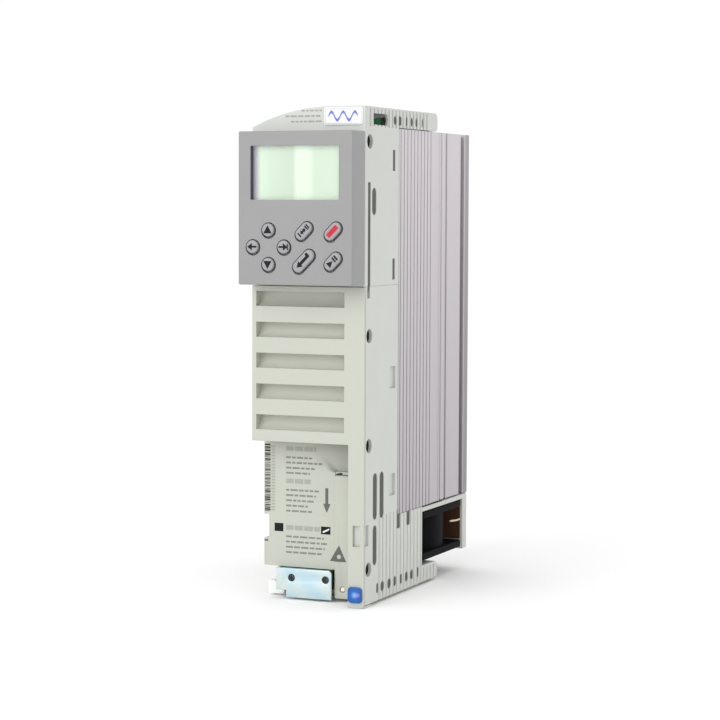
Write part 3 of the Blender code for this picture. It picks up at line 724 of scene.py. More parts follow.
def finish(name):
    """The finish of that name, made when it is first asked for."""
    hues = shades()
    makers = {
        "housing_plastic": (moulded_abs, hues.housing),
        "cover_plastic": (moulded_abs, hues.cover),
        "white_plastic": (moulded_abs, "C4C4BF", (0.35, 0.5)),
        "natural_nylon": (moulded_abs, "F1F2EF", (0.35, 0.5)),
        "keypad_plastic": (moulded_abs, hues.keypad, (0.38, 0.5), 0.4),
        "keypad_back_plastic": (moulded_abs, "8E8E93"),
        "key_plastic": (moulded_abs, hues.keys, (0.3, 0.42), 0.6),
        # Near black: the rubber's own dark, and partly painted shade in the gaps round the keys.
        "key_rubber": (moulded_abs, "1D1D21", (0.7, 0.85), 0.7),
        "label_film": (pad_print, "F1F2F4", 0.3),
        "badge_resin": (clear_resin, hues.badge),
        "heatsink_aluminium": (extruded_aluminium, hues.aluminium),
        "zinc_plated_steel": (passivated_zinc, hues.zinc),
        "screw_steel": (turned_steel, "54585C"),
        "light_pipe_plastic": (pad_print, "F3F4DE", 0.15),
        "fan_plastic": (glass_filled_pbt, hues.fan),
        "lead_insulation": (pad_print, "D9C7A4", 0.4),
        "display_glass": (twisted_nematic, hues.display),
        "lens_plastic": (polished_lens,),
        "connector_plastic": (glass_filled_pbt, "2A2A2E"),
        "board_laminate": (solder_mask, "2C6544"),
        "terminal_plastic": (glass_filled_pbt, "145A33"),
        "spacer_plastic": (moulded_abs, "D8D8D0"),
        "module_plastic": (glass_filled_pbt, "3A3A40"),
        "relay_plastic": (glass_filled_pbt, "26262C"),
        "pad_rubber": (moulded_abs, "A9ADB6", (0.7, 0.8)),
        "capacitor_sleeve": (glass_filled_pbt, "27365A"),
        "choke_core": (wound_copper, "B5652F"),
        "insulation_paper": (resin_paper, "4A2C14"),
        "print_ink": (pad_print, hues.print_grey),
        "pale_ink": (pad_print, "A3A59B"),
        "dark_ink": (pad_print, "62645E"),
        "black_ink": (pad_print, "08080A"),
        "faint_ink": (pad_print, "C8CAC6"),
        # Black sheet; inside the right wall it is painted shade.
        "black_film": (pad_print, "141513", 0.6),
        # Dark grey sheet that paints shade into the slots of the right wall.
        "grey_film": (pad_print, "565853", 0.6),
        "red_ink": (pad_print, hues.stop_red),
        "blue_ink": (pad_print, "6F7FE0"),
        # Dark violet grey strips in the display window: painted shade.
        "foam_gasket": (moulded_abs, "4A4855", (0.8, 0.9), 0.8),
    }
    if name not in FINISHES:
        maker, *details = makers[name]
        FINISHES[name] = maker(name, *details)
    return FINISHES[name]


# ---------------------------------------------------------------- housing


def both_sides(outline):
    """A cutter through both side walls."""
    return solid("YZ", outline, -HALF - 5, HALF + 5)


def right_side(outline, depth=WALL + 1):
    """A cutter through the right wall, or a pocket in it when depth is less than the wall."""
    return solid("YZ", outline, HALF - depth, HALF + 2)


def left_side(outline, depth=WALL + 1):
    """The same for the left wall."""
    return solid("YZ", outline, -HALF - 2, -HALF + depth)


def upper_housing():
    """Arched shell with the ribbed band over its top, wire holes and side slots."""
    band_z = 231.1  # lower edge of the ribbed band
    skin = 2.4  # front and rear walls
    side = [(FRONT - 1, UPPER.z0), (WALL_BACK, UPPER.z0), (WALL_BACK, band_z)]
    side += arc(UPPER.y1 - 2, band_z + 2, 2, -90, 0, 6)
    side += arc(UPPER.y1 - 3.5, UPPER.z1 - 3.5, 3.5, 0, 90, 8)
    side += [(FRONT - 1, UPPER.z1 + 0.01)]
    body = solid("XZ", arch_outline(UPPER.z0 - 3, 0), FRONT, UPPER.y1 + 3, edge=sizes().front_edge)
    combine(body, solid("YZ", side, -HALF - 1, HALF + 1), "INTERSECT")
    cut(body, solid("XZ", arch_outline(UPPER.z0 - 9, WALL), FRONT + skin, WALL_BACK + 6))
    cut(body, solid("XZ", arch_outline(band_z - 9, WALL), WALL_BACK + 3, UPPER.y1 - skin))
    socket = span("keypad_socket")
    low_z, high_z = socket.z0 - 0.6, socket.z1 + 0.6
    cut(body, block(socket.x0 - 0.5, socket.x1 + 0.5, FRONT - 2, FRONT + 4, low_z, high_z))
    # Round hole and slots in the side walls, then the wire entry and the ovals in the band. Each vent is
    # the place of an oval's middle, from the front to the rear, and its width.
    slots = [rectangle(-136.5, UPPER.z0 - 2, -133.2, 203.9), stadium(-128.9, 194.8, 13.2, 5.2)]
    slots += [rectangle(-105.8, low, -102.7, low + 10.3) for low in (156.6, 209.8)]
    cut(body, gather([both_sides(circle(SIDE_HOLE_Y, 223.4, SIDE_HOLE_R)), *map(both_sides, slots)]))
    vents = ((-103.0, 4.2), (-96.2, 2.8), (-88.3, 2.2), (-81.2, 3.6), (-75.2, 3.0), (-67.0, 2.2))
    ovals = [stadium(y, 234.5, 4.6, width) for y, width in vents]
    entry = rounded(-130.3, 231.6, -111.2, 237.1, 2.4)
    cut(body, gather([right_side(outline) for outline in (*ovals, entry)]))
    # Four square wire holes in the top, and eight air slots behind them.
    through = (band_z - 2.1, UPPER.z1 + 5)
    wire, slot_pitch, slot_width = 4.5, 4.5, 2.2
    holes = [block(x - wire, x + wire, -127.2, -118.2, *through) for x in WIRE_X]
    for i in range(8):
        y = -91.0 + slot_pitch * i
        holes.append(block(-21.0, 21.0, y, y + slot_width, *through))
    cut(body, gather(holes))
    cut(body, gather([band_groove(y, band_z) for y in rib_places(-133.8, -59.0)]))
    round_edges(body, sizes().rim)
    place(body, "upper_shell", "drive", "housing_plastic", "upper_housing")
    # Black sheet just inside the right wall: painted shade, which darkens its slots and holes.
    film = [(-137.0, 1.9), (-67.0, 1.9), (-67.0, 38.0), (-101.0, 38.0), (-101.0, 233.4), (-61.0, 233.4)]
    film += [(-61.0, 237.8), (-109.0, 237.8), (-109.0, 229.0), (-137.0, 229.0)]
    inner = HALF - WALL - 0.2
    shade_liner = solid("YZ", film, inner - 0.25, inner)
    place(shade_liner, "inner_shade_sheet", "drive", "black_film", slot="housing_plastic")
    slot_shade([*slots, *ovals], "upper_slot_shade")


def slot_shade(outlines, name):
    """Grey sheet inside the narrow slots of the right wall, close behind its face: painted shade that darkens
    the slots.
    """
    near, thick = HALF - 0.35, 0.3
    strips = [solid("YZ", outline, near - thick, near) for outline in outlines]
    place(gather(strips), name, "drive", "grey_film", slot="housing_plastic")


def rib_places(first, last):
    """Where the grooves between the ribs lie, from front to rear."""
    count = int((last - first) / sizes().rib_pitch) + 1
    return [first + sizes().rib_pitch * i for i in range(count)]


def band_groove(y, band_z):
    """Cutter for one groove that wraps over the arched top and down both sides of the band."""
    outer = arch_outline(band_z - 0.3, -2)
    inner = arch_outline(band_z - 0.3, sizes().rib_depth)
    outline = outer[1:] + [outer[0], inner[0]] + inner[:1:-1] + [inner[1]]
    return solid("XZ", outline, y - sizes().rib_gap / 2, y + sizes().rib_gap / 2)


def lower_housing():
    """Side walls and the ribbed base with its foot, slots and clip pockets."""
    base_back, base_top = -64.5, 39.2  # the ribbed base's rear face and top
    foot_top = 8.5
    inner = HALF - WALL
    seam = 0.06  # hairline between the two housings
    top = UPPER.z0 - seam
    left, ahead, above = -HALF - 1, FRONT - 10, UPPER.z0 + 15  # where cutters end, outside the housing
    side = [(LOWER.y0, 0)]
    side += arc(LOWER.y1 - 1.5, 1.5, 1.5, -90, 0, 5)
    side += arc(LOWER.y1 - 3.4, foot_top - 3.4, 3.4, 0, 90, 8)
    side += [(base_back, foot_top), (base_back, base_top), (WALL_BACK, base_top)]
    side += [(WALL_BACK, top), (LOWER.y0, top)]
    body = solid("YZ", side, -HALF, HALF, edge=0.2)
    cut(body, block(-inner, inner, ahead, base_back - 2.5, WALL, above))
    cut(body, block(-inner, inner, base_back + 2.2, LOWER.y1 - 2.5, -2, foot_top - 2.2))
    # Post behind the column's recess, then the open bottom and the steps in the left wall's front edge.
    join(body, block(23.4, inner + 1, LOWER.y0, -136.9, 20.0, 46.0))
    cut(body, block(left, 23.2, ahead, -113.2, -2, WALL + 1))
    steps = [(ahead, -131.5, COVER_LOW - GAP, above), (ahead, PANEL.y0 + 2 + GAP, 10, COVER_LOW)]
    steps += [(ahead, -110.0, -2, 14.0), (-130, -119.0, 28.0, 39.7)]
    for step in steps:
        cut(body, block(left, -inner + 1, *step))
    # Holes and slots of the right wall, clip pockets in both, and the openings that go through both.
    outlines = [circle(SIDE_HOLE_Y, z, SIDE_HOLE_R) for z in (130.2, COVER_LOW - 0.6, 17.0)]
    outlines += [rectangle(-136.9, 148.4, -133.8, top + 2)]
    slots = [stadium(-126.5, 51.7, 22.8, 5.3), stadium(-126.6, 27.8, 19.6, 5.1)]
    slots += [stadium(y, 6.2, 5.2, width) for y, width in ((-123.1, 2.6), (-116.8, 4.6))]
    cut(body, gather([right_side(outline) for outline in (*outlines, *slots)]))
    pockets = [rectangle(-108.4, low, -101.3, high) for low, high in ((103.0, 113.8), (49.7, 60.6))]
    pocket_depth = 1.2
    cut(body, gather([wall(p, pocket_depth) for wall in (right_side, left_side) for p in pockets]))
    cut(body, right_side(rectangle(ahead, RECESS[0], SIDE_HOLE_Y, RECESS[1]), pocket_depth))
    through = [stadium(-118.1, 51.6, 23.0, 5.3)]
    through += [rounded(y - 2.3, 32.2, y + 2.3, base_top + 3, 1.2) for y in (-96.2, -83.5)]
    vents = ((-108.1, 4.5), (-100.7, 3.3), (-92.5, 2.3), (-85.5, 4.0), (-78.3, 3.3), (-70.3, 2.6))
    through += [stadium(y, 6.2, 5.2, width) for y, width in vents]
    cut(body, gather([both_sides(outline) for outline in through]))
    slot_shade(slots + through, "lower_slot_shade")
    reach = sizes().base_depth
    half_gap = sizes().base_gap / 2
    grooves = []
    for y in rib_places(-121.0, LOWER.y1 - 3):
        height = foot_top - 1.2
        if y < base_back:
            height = base_top + (2.3 if y < WALL_BACK else 2)
        outline = rectangle(y - half_gap, -1, y + half_gap, height)
        grooves += [right_side(outline, reach), left_side(outline, reach)]
    cut(body, gather(grooves))
    round_edges(body, sizes().rim)
    place(body, "lower_shell", "drive", "housing_plastic", "lower_housing")


# ---------------------------------------------------------------- front cover


def scoop(top, depth, height, steps=20):
    """Quarter ellipse in side view, deep at the top and running out to the front plane."""
    points = []
    for i in range(steps + 1):
        a = math.pi / 2 * i / steps
        points.append((FRONT + depth * math.cos(a), top - height * math.sin(a)))
    return points


def front_cover():
    """Louvre field and the column beside it, with the scoop behind each louvre."""
    own = sizes()
    left, right = -27.7, 19.4  # ends of the louvres
    tops = [COVER.z1 - 2.6 - own.louvre_pitch * i for i in range(own.louvres)]
    foot = 2.0  # corner radius at the column's foot
    outline = [(-HALF, COVER_LOW), (COLUMN_X, COVER_LOW)]
    outline += arc(COLUMN_X + foot, COVER.z0 + foot, foot, 180, 270, 8)
    outline += arc(HALF - foot, COVER.z0 + foot, foot, 270, 360, 8)
    outline += [(HALF, COVER.z1), (-HALF, COVER.z1)]
    body = solid("XZ", outline, FRONT, COVER_BACK, edge=0.38)
    # Behind the plate: the louvres' swellings, and flanges at the left, under the field, beside and
    # under the column. They start inside the plate, so that the two become one.
    wall = 1.4
    rear, root = COVER_BACK - 0.3, COVER_BACK - 0.7
    back = [(FRONT + 0.7, COVER_LOW + 1), (FRONT + 0.7, COVER.z1 - 0.8), (rear, COVER.z1 - 0.8)]
    for top in tops:
        swelling = scoop(top + wall, own.louvre_depth + wall, own.louvre_height + 2 * wall)
        back += [(rear, top + wall)] + [p for p in swelling if p[0] > rear]
    back.append((rear, COVER_LOW + 1))
    join(body, solid("YZ", back, left - 1.2, right + 1.2))
    join(body, block(-HALF, left - 0.7, root, -131.8, COVER_LOW, COVER.z1))
    join(body, block(-29.0, COLUMN_X + wall, root, -131.8, COVER_LOW, COVER_LOW + wall))
    join(body, block(COLUMN_X, COLUMN_X + wall, root, -118.0, 3.0, COVER_LOW + 1))
    join(body, block(COLUMN_X, HALF, root, -131.0, COVER.z0, -GAP))
    pockets = []
    for top in tops:
        mouth = scoop(top, own.louvre_depth, own.louvre_height)
        mouth += [(FRONT - 2, mouth[-1][1]), (FRONT - 2, top)]
        pockets.append(solid("YZ", mouth, left, right))
    cut(body, gather(pockets))
    cut(body, block(24.1, 27.9, FRONT - 1, COVER_BACK + 0.2, *RECESS))
    cut(body, block(HALF - 0.9, HALF + 1, FRONT + 0.9, COVER_BACK + 1, *RECESS))
    round_edges(body, sizes().rim)
    place(body, "louvred_cover", "drive", "cover_plastic", "front_cover")


# ---------------------------------------------------------------- printed marks


def drawn(name, outlines, y, ink, body, slot="label_film"):
    """Printed shapes from outlines, on a face that looks to the front."""
    shapes = [solid("XZ", outline, y - PRINT_T, y) for outline in outlines]
    place(gather(shapes), name, body, ink, slot=slot)


def marks(name, bars, y, ink, body):
    """Printed bars, each given as left, bottom, right and top."""
    drawn(name, [rectangle(*bar) for bar in bars], y, ink, body)


def dashes(rows, height, seed, words=(1.4, 4.6)):
    """Bars that stand for lines of small print: each row is left, right and height up the panel."""
    chance = random.Random(seed)
    bars = []
    for left, right, z in rows:
        x = left
        while x < right - 0.8:
            end = min(x + chance.uniform(*words), right)
            bars.append((x, z - height / 2, end, z + height / 2))
            x = end + 0.65
    return bars


def name_plate():
    """White plate with a fine border and a plain wave, and the small print beside it."""
    plate = span("name_plate")
    outline = rounded(plate.x0, plate.z0, plate.x1, plate.z1, 1.3, 8)
    body = solid("XZ", outline, plate.y0 + PRINT_T, plate.y1, edge=0.12)
    place(body, "title_plate", "drive", "label_film", "name_plate")
    face = plate.y0 + PRINT_T
    rings = [rounded(plate.x0 + inset, plate.z0 + inset, plate.x1 - inset, plate.z1 - inset, radius, 8)
             for inset, radius in ((0.45, 1.0), (0.75, 0.8))]
    border = solid("XZ", rings[0], face - PRINT_T, face, rings[1:])
    place(border, "title_border", "drive", "faint_ink", slot="label_film")
    middle = (plate.z0 + plate.z1) / 2
    left, right = plate.x0 + 2.4, plate.x1 - 2.4
    upper, lower = [], []
    steps, waves, swing, stroke = 60, 2.5, 2.0, 1.5
    for i in range(steps + 1):
        x = left + (right - left) * i / steps
        z = middle + swing * math.sin(math.tau * waves * i / steps)
        upper.append((x, z + stroke / 2))
        lower.append((x, z - stroke / 2))
    drawn("title_wave", [lower + upper[::-1]], face, "blue_ink", "drive")
    rows = [(-3.5, 7.4, 238.2), (-12.0, 7.4, 235.6), (-9.0, 7.4, 233.0)]
    marks("top_small_print", dashes(rows, 0.8, 4, (1.2, 3.4)), FRONT, "pale_ink", "drive")


def corner_badge():
    """Small domed badge at the foot of the column."""
    badge = span("corner_badge")
    outline = rounded(badge.x0, badge.z0, badge.x1, badge.z1, 1.9, 8)
    body = solid("XZ", outline, badge.y0, badge.y1, edge=0.5, steps=6)
    place(body, "foot_badge", "drive", "badge_resin", "corner_badge")


# ---------------------------------------------------------------- removable covers


def smooth_step(t):
    """Rises from 0 to 1 with level ends as t goes from 0 to 1."""
    t = min(max(t, 0.0), 1.0)
    return t * t * (3 - 2 * t)


def hollow_plate(low, side, thick):
    """Upper part of the terminal panel: flat at the left, dished at the right above the module lid."""
    start, dip = -6.0, 5.8  # where the dish begins, and its depth beside the column
    columns, rows = 60, 36
    grids = []
    for back in (0, thick):
        grid = []
        for i in range(columns + 1):
            x = PANEL.x0 + (LID.x1 - PANEL.x0) * i / columns
            across = dip * smooth_step((x - start) / (LID.x1 - start))
            fade = 0.05 + 1.3 * max(side - x, 0.0)
            line = []
            for j in range(rows + 1):
                z = low + (PANEL.z1 - low) * j / rows
                rise = 1.0 if x >= side else smooth_step((z - low - 1.0) / fade)
                line.append((x, PANEL.y0 + back + across * rise, z))
            grid.append(line)
        grids.append(grid)
    return between(*grids)


def terminal_cover():
    """Pull-off panel over the terminals, with its release lever and printed marks."""
    thick = 2.0
    split = LID.z1 + GAP  # height above which the panel spreads over the module lid
    side = LID.x0 - GAP
    left, low = PANEL.x0, PANEL.z0
    outline = [(left, low), (side, low), (side, split + 1), (left, split + 1)]
    outline += [(left, 39.7), (-27.3, 39.7), (-27.3, 28.0), (left, 28.0)]
    body = solid("XZ", outline, PANEL.y0, PANEL.y0 + thick)
    join(body, hollow_plate(split, side, thick))
    join(body, block(side + 0.2, LID.x1, PANEL.y0 + 0.4, PANEL.y0 + 9.4, split + 0.02, split + 1.3))
    round_edges(body, 0.25, 3)
    place(body, "terminal_panel_cover", "terminal_panel", "cover_plastic", "terminal_cover")
    lever = block(14.3, 16.3, -137.6, -134.2, split + 1.25, split + 2.0, edge=0.2)
    place(lever, "panel_release_lever", "terminal_panel", "module_plastic", slot="cover_plastic")
    face = PANEL.y0
    text_x = -18.0  # left edge of the printed lines
    heads = [(-1.8, 73.0), (-4.6, 56.9), (0.4, 33.65)]
    titles = []
    for right, z in heads:
        titles += dashes([(text_x, right, z)], 2.3, 5, (2.4, 5.2))
    marks("panel_headings", titles, face, "pale_ink", "terminal_panel")
    ends = [(-4.0, 68.6), (1.4, 66.0), (-2.5, 63.4), (-5.0, 60.9), (1.0, 52.4), (-1.8, 49.8), (-1.6, 47.2)]
    ends += [(-6.2, 44.6), (-2.8, 42.0), (2.6, 29.2), (4.2, 26.6), (3.2, 24.0), (1.4, 21.4)]
    rows = [(text_x, right, z) for right, z in ends]
    marks("panel_small_print", dashes(rows, 0.95, 7, (1.6, 4.4)), face, "print_ink", "terminal_panel")
    pointer = [(3.3, 54.3), (4.9, 54.3), (4.9, 46.6), (6.1, 46.6), (4.1, 42.0), (2.1, 46.6), (3.3, 46.6)]
    drawn("panel_pointer", [pointer], face, "dark_ink", "terminal_panel")
    squares = [(-24.3, 31.5, -19.5, 35.6), (1.0, 31.4, 6.1, 35.2)]
    marks("panel_squares", squares, face, "black_ink", "terminal_panel")
    slash = [(2.0, 32.0), (5.4, 33.6), (5.4, 34.4), (2.0, 32.8)]
    drawn("panel_slash", [slash], face - PRINT_T, "label_film", "terminal_panel")
    # Plain stripes up the left edge, from the top down, and even ticks beside them.
    chance = random.Random(11)
    stripes, ticks = [], []
    z = 74.8
    while z > 41.2:
        width = chance.choice((0.28, 0.28, 0.5, 0.75))
        stripes.append((left + 0.3, z - width, left + 3.4, z))
        z -= width + chance.choice((0.3, 0.3, 0.55))
    z, tick, pitch = 74.0, 0.9, 1.5
    while z > 41.0:
        ticks.append((left + 3.9, z - tick, left + 6.0, z))
        z -= pitch
    marks("panel_stripes", stripes, face, "black_ink", "terminal_panel")
    marks("panel_ticks", ticks, face, "pale_ink", "terminal_panel")
    edge_mark = (left + 0.1, 26.2, left + 2.2, 27.1)
    marks("panel_edge_mark", [edge_mark], face, "dark_ink", "terminal_panel")
    corner = [(5.9, 18.4), (side, 18.45), (side, 23.0)]
    drawn("panel_triangle", [corner], face, "dark_ink", "terminal_panel")


def module_cover():
    """Narrow lid over the control terminals, with its light pipe and its part of the printed triangle."""
    wall = 1.4
    body = block(LID.x0, LID.x1, LID.y0, LID.y1 + 2, LID.z0, LID.z1, edge=0.5)
    cut(body, block(LID.x0 - 1, LID.x1 + 1, LID.y1, LID.y1 + 5, LID.z0 - 1, LID.z1 + 1))
    cut(body, block(LID.x0 + wall, LID.x1 - wall, LID.y0 + wall, LID.y1 + 3, LID.z0 + wall, LID.z1 - wall))
    pipe = span("light_pipe")
    x, z = centre("light_pipe")
    cut(body, solid("XZ", circle(x, z, 1.5), LID.y0 - 1, LID.y0 + 3))
    round_edges(body, 0.12)
    place(body, "module_lid_cover", "module_lid", "cover_plastic", "module_cover")
    stem = solid("XZ", circle(x, z, 1.2), pipe.y0, pipe.y1, edge=0.35, steps=5)
    place(stem, "status_light_pipe", "module_lid", "light_pipe_plastic", "light_pipe")
    shape = [(LID.x0 + 0.1, 18.5), (15.3, 18.6), (11.4, 26.6), (LID.x0 + 0.1, 22.9)]
    triangle = solid("XZ", shape, LID.y0 - PRINT_T, LID.y0, [circle(11.4, 21.0, 1.1, 24)])
    place(triangle, "lid_triangle", "module_lid", "dark_ink", slot="label_film")


def shield():
    """Zinc plated clamp plate with its two screws, and the cable clip beside it."""
    x0, x1 = SHIELD.x0, SHIELD.x1
    step_x, step_z = x0 + 5.5, 3.0
    outline = [(step_x, SHIELD.z0), (x1, SHIELD.z0)] + arc(x1 - 2, 12, 2, 0, 90, 8)
    outline += [(x0, 14.0), (x0, step_z), (step_x, step_z)]
    screws = ("shield_screw_left", "shield_screw_right")
    holes = [circle(*centre(node), 1.85, 32) for node in screws]
    body = solid("XZ", outline, SHIELD.y0, SHIELD.y0 + 1.0, holes, edge=0.2)
    join(body, block(x0, x1 - 2, SHIELD.y0 + 0.5, SHIELD.y1, 12.8, 13.8))
    place(body, "clamp_plate", "drive", "zinc_plated_steel", "shield_plate")
    arm, slot = 1.1, 0.34  # half length and half width of the screw's cross
    for node in screws:
        own = span(node)
        x, z = centre(node)
        screw = solid("XZ", circle(x, z, 1.45, 32), own.y0, own.y1, edge=0.25)
        for half_x, half_z in ((slot, arm), (arm, slot)):
            cut(screw, block(x - half_x, x + half_x, own.y0 - 1, own.y0 + 0.8, z - half_z, z + half_z))
        place(screw, node.replace("shield", "clamp"), "drive", "screw_steel", node)
    clip = span("cable_clip")
    outline = [(clip.x0, clip.z0), (-21.5, clip.z0), (clip.x1, 1.0), (-21.5, 2.6), (-24.5, 2.6)]
    outline += [(-24.5, 4.4), (-25.5, clip.z1), (clip.x0, clip.z1)]
    holder = solid("XZ", fillet(outline, 0.8), clip.y0, clip.y1, edge=0.3)
    place(holder, "lead_clip", "drive", "natural_nylon", "cable_clip", slot="white_plastic")


# ---------------------------------------------------------------- heatsink and fan


def heatsink():
    """Extruded heatsink: grooved sides, a base plate and the fins between its cooling ducts."""
    own = sizes()
    half_gap = own.fin_groove / 2
    floor_x = HALF - own.fin_depth + half_gap
    grooves, first, pitch = 10, -95.5, 4.45
    right = [(HALF, SINK.y0)]
    for i in range(grooves):
        y = first + pitch * i
        right += [(HALF, y - half_gap)] + arc(floor_x, y, half_gap, 270, 90, 8) + [(HALF, y + half_gap)]
    # Towards the rear: a shallow field, two strip grooves, a bead, the flat and the deep mounting groove.
    right += [(HALF, -52.8), (HALF - 0.35, -52.4), (HALF - 0.35, -42.2), (HALF, -41.9), (HALF, -41.3)]
    right += [(HALF - 1.8, -41.2), (HALF - 1.8, -38.8), (HALF - 0.5, -38.4), (HALF - 0.5, -34.0)]
    right += [(HALF - 1.9, -33.8), (HALF - 1.9, -31.3)] + arc(HALF - 0.8, -30.3, 0.8, 240, 480, 10)
    right += [(HALF - 0.7, -29.0), (HALF - 0.7, -10.9), (HALF - 1.0, -10.7), (HALF - 3.2, -10.6)]
    right += [(HALF - 3.2, -6.8), (HALF - 0.3, REAR_EDGE), (HALF, -6.3), (HALF, -0.4), (HALF - 0.4, 0)]
    left = [(-x, y) for x, y in reversed(right)]
    leg, plate_front, plate_back = 3.0, -61.0, -56.0
    inner = HALF - leg
    inside = [(-inner, SINK.y0), (-inner, plate_front - 1), (-inner + 1, plate_front)]
    inside += [(inner - 1, plate_front), (inner, plate_front - 1), (inner, SINK.y0)]
    count, duct, fin = 11, 3.3, 1.4
    whole = count * duct + (count - 1) * fin
    ducts = []
    for i in range(count):
        x = -whole / 2 + i * (duct + fin)
        ducts.append(rounded(x, plate_back, x + duct, -4.6, 0.8, 4))
    body = solid("XY", right + left + inside, SINK.z0, SINK.z1, ducts)
    place(body, "heatsink_extrusion", "drive", "heatsink_aluminium", "heatsink")


def fan_frame():
    """Fan housing: two square flanges on a round duct, with screw holes and the motor's struts."""
    bore = circle(*FAN_AXIS, 26.6, 96)
    flange = 3.6
    square = rounded(FAN.x0, FAN.y0, FAN.x1, FAN.y1, 3, 10)
    bolt_x, bolt_y = 25.0, 24.4
    corners = [(x, FAN_AXIS[1] + y) for x in (-bolt_x, bolt_x) for y in (-bolt_y, bolt_y)]
    holes = [circle(x, y, 2.1, 24) for x, y in corners]
    lower = solid("XY", square, FAN.z0, FAN.z0 + flange, [bore, *holes], edge=0.4)
    upper = solid("XY", square, FAN.z1 - flange, FAN.z1, [bore, *holes], edge=0.4)
    body = solid("XY", circle(*FAN_AXIS, 28.1, 96), FAN.z0 + 1, FAN.z1 - 1, [bore])
    join(body, lower, upper)
    for x, y in corners[:3]:  # the lead's corner has no post
        post = solid("XY", circle(x, y, 3.1, 24), FAN.z0 + 1, FAN.z1 - 1, [circle(x, y, 2.1, 24)])
        join(body, post)
    strut_top = FAN.z0 + 2.0
    hub = solid("XY", circle(*FAN_AXIS, 13.0, 64), FAN.z0, strut_top, edge=0.3)
    for i in range(3):
        strut = block(-1.5, 1.5, 5, 27.2, FAN.z0, strut_top)
        turn = Matrix.Rotation(math.radians(120 * i), 4, "Z")
        strut.data.transform(Matrix.Translation((*FAN_AXIS, 0)) @ turn)
        join(hub, strut)
    join(body, hub)
    place(body, "fan_housing", "fan_cassette", "fan_plastic", "fan_frame")


def blade(index, axis):
    """One twisted, curved fan blade from the hub to just short of the duct."""
    root, tip = 11.8, ROTOR.x1 - 0.05
    low, high = ROTOR.z0 + 1.4, ROTOR.z1 - 1.4
    steps_out, steps_along = 10, 12
    faces = ([], [])
    for i in range(steps_out + 1):
        radius = root + (tip - root) * i / steps_out
        sweep = math.radians(52 - 10 * i / steps_out)
        lines = ([], [])
        for j in range(steps_along + 1):
            t = j / steps_along
            angle = sweep * (t - 0.5) + math.radians(5) * math.sin(math.pi * t) + math.radians(1.2) * i
            thick = 1.1 * math.sqrt(max(0.02, 4 * t * (1 - t))) * (1.15 - 0.05 * i)
            for side, line in zip((-1, 1), lines):
                a = angle + side * thick / 2 / radius + math.tau * index / sizes().blades
                line.append((radius * math.cos(a), axis + radius * math.sin(a), low + (high - low) * t))
        for face, line in zip(faces, lines):
            face.append(line)
    return between(*faces)


def fan_rotor():
    """Hub with its curved blades."""
    axis = (ROTOR.y0 + ROTOR.y1) / 2
    body = solid("XY", circle(0, axis, 12.5, 72), ROTOR.z0, ROTOR.z1, edge=0.7, steps=4)
    for i in range(sizes().blades):
        join(body, blade(i, axis))
    place(body, "fan_wheel", "impeller", "fan_plastic", "fan_rotor")


def fan_bracket():
    """White cassette bracket round the fan, a dark brown lining that is partly painted shade, its air seal
    and the fan's lead.
    """
    top_z0, top_z1 = FAN.z1 + 0.4, 38.7
    back_y = -6.4
    plate = rounded(-HALF, BRACKET.y0, HALF, BRACKET.y1, 0.6)
    body = solid("XY", plate, top_z0, top_z1, [circle(*FAN_AXIS, 27.4, 96)], edge=0.3)
    join(body, block(-HALF, HALF, back_y, BRACKET.y1, BRACKET.z0, BRACKET.z1, edge=0.4))
    cut(body, block(-24, 24, -4.6, 1, 12, 33))
    round_edges(body, 0.12)
    place(body, "fan_cassette_bracket", "fan_cassette", "white_plastic", "fan_bracket")
    # Dark brown sheet on the bracket's inner wall: brown of its own, and partly painted shade behind the fan.
    flange = 3.9
    lining = block(-28.6, 28.6, back_y - 0.3, back_y - 0.05, FAN.z0 + flange, FAN.z1 - flange)
    place(lining, "fan_shade_lining", "fan_cassette", "insulation_paper", slot="white_plastic")
    seal = block(-28.0, HALF - 0.1, -64.0, -36.0, top_z1 + 0.02, SINK.z0 - 0.05)
    place(seal, "fan_air_seal", "fan_cassette", "black_film", slot="white_plastic")
    route = [(28.3, -20.5, 25.9), (28.6, -17.5, 25.8), (28.8, -14.0, 25.5), (28.8, -10.5, 25.4)]
    route.append((28.7, span("fan_lead").y1, 25.4))
    place(tube([route], 0.5, 5, smooth=True), "fan_wire", "fan_cassette", "lead_insulation", "fan_lead")


# ---------------------------------------------------------------- keypad

ROUND_KEYS = ("key_up", "key_left", "key_right", "key_down")
KEY_NAMES = (*ROUND_KEYS, "key_menu", "key_stop", "key_enter", "key_run")


def key_outline(name, grow=0.0, shift=0.0):
    """A key's outline: a disc, or a slot that leans by 45 degrees; shift moves it right and down."""
    x, z = centre(name)
    x, z = x + shift, z - shift
    own = span(name)
    width = own.x1 - own.x0 - 2 * SKIRT
    if name in ROUND_KEYS:
        return circle(x, z, width / 2 + grow, 64)
    bar = 6.2  # width of a long key
    length = bar + (width - bar) * math.sqrt(2)
    return stadium(x, z, length + 2 * grow, bar + 2 * grow, 45, 16)


def keypad_case():
    """Plug-on keypad's case with its display window and key holes."""
    own = KEYPAD
    bezel, wall = 2.3, 2.0  # thickness of the face and of the sides
    outline = rounded(own.x0, own.z0, own.x1, own.z1, 0.8, 8)
    body = solid("XZ", outline, own.y0, own.y1 + 3, edge=sizes().keypad_edge, steps=5)
    cut(body, block(own.x0 - 1, own.x1 + 1, own.y1, own.y1 + 5, own.z0 - 1, own.z1 + 1))
    cut(body, block(own.x0 + wall, own.x1 - wall, own.y0 + bezel, own.y1 + 3, own.z0 + wall, own.z1 - wall))
    # The key holes lie a little to the right and down, so that a key's gap is widest there.
    shift = 0.32
    openings = [rounded(*WINDOW, 0.6)]
    openings += [key_outline(name, sizes().key_gap, shift) for name in KEY_NAMES]
    cut(body, gather([solid("XZ", o, own.y0 - 1, own.y0 + 4) for o in openings]))
    round_edges(body, 0.14)
    place(body, "keypad_shell", "keypad", "keypad_plastic", "keypad_case")


